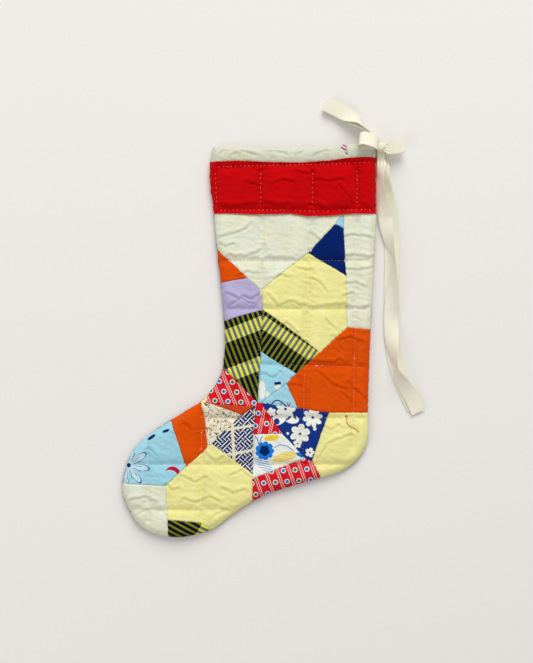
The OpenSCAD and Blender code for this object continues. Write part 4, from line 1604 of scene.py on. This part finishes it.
def wadding():
    """Cotton wadding: a matted white fleece."""
    net = Net("wadding")
    x, y, z = net.place()
    tufts = net.noise(x, y, z, 4.0, 6.0)
    return net.finish(net.shade(srgb(236, 232, 220), 0.86 + tufts * 0.22), tufts, 0.9, 0.98, 0.3)


def thread_material(node):
    """Twisted sewing thread, white or red."""
    if node not in MADE:
        net = Net(node)
        x, y, z = net.place()
        ply = net.sine((x + y * 0.6 + z) * (math.tau / THREAD_PLY))
        colour = srgb(206, 22, 34) if SLOTS[node] == "red_thread" else srgb(232, 214, 204)
        MADE[node] = net.finish(net.shade(colour, 0.94 + ply * 0.06), ply, 0.05, 0.8, 0.2)
    return MADE[node]


def tape_material():
    """Cotton twill tape: herringbone ribs that turn at every chevron, and firm edges."""
    if "tape" not in MADE:
        net = Net("twill_tape")
        u, v, _ = net.tape_place()
        chevron = abs(net.fract(u / CHEVRON) - 0.5) * CHEVRON
        ribs = net.sine((v + chevron) * (math.tau / TAPE_RIB))
        selvage = net.above(abs(u), TAPE_W / 2 - SELVAGE, 0.2)
        slub = net.noise(u * 0.3, v, 0.0, 2.5, 3.0)
        tone = 0.95 + ribs * 0.025 + (slub - 0.5) * 0.08 - selvage * 0.04
        MADE["tape"] = net.finish(net.shade(TAPE, tone), ribs * 0.5 + selvage * 0.6, 0.12, 0.85, 0.2)
    return MADE["tape"]


# ---------------------------------------------------------------- the stocking


def build_bow():
    """The tape: two loose tails, the hanging loop, the bow's two loops, and the knot."""
    tape = tape_material()
    tails = [("tail_front", "front_tail", FRONT_ROUTE, FRONT_REST, "tail_a", 31),
             ("tail_back", "back_tail", BACK_ROUTE, BACK_REST, "tail_b", 32)]
    for node, name, route, rest, body, seed in tails:
        tail, path, length = make_tail(name, route, rest, seed)
        finish_piece(tail, body, node, tape)
    loops = [("hanging_loop", "loop_of_tape", LOOP_ROWS, "loop"),
             ("bow_loop_left", "left_bow_loop", LEFT_ROWS, "bow_left"),
             ("bow_loop_right", "right_bow_loop", RIGHT_ROWS, "bow_right")]
    for node, name, rows, body in loops:
        loop, line = make_loop(name, rows)
        finish_piece(loop, body, node, tape)
    for piece in make_knot():
        finish_piece(piece, "stocking", "bow_knot", tape)


def build_quilt():
    """Front and back panels, cuff, everything between them, and the stitching."""
    front = Panel(PRINT_NODES, EDGE_ROWS, FRONT_SPACING, True)
    back = Panel(BACK_NODES, BACK_QUILT_ROWS, BACK_SPACING, False)
    moved = front.swell(FRONT_SWELL, FRONT_PUFF)
    back_moved = back.swell(BACK_SWELL, BACK_PUFF)
    quilt = build_panel(front, moved, "_patch")
    build_panel(back, back_moved, "_cloth")
    build_inside(front, back)
    band = build_cuff(front)
    running_stitches("quilting_thread", "quilting_stitches", QUILT_ROWS, quilt, 3.4, 0.95, 41)
    running_stitches("cuff_thread", "cuff_stitches", CUFF_ROWS, band, 4.6, 1.25, 42)
    build_heel_thread(quilt)
    build_tacking()


make_camera()
build_bow()
make_lights()
make_table()
build_quilt()
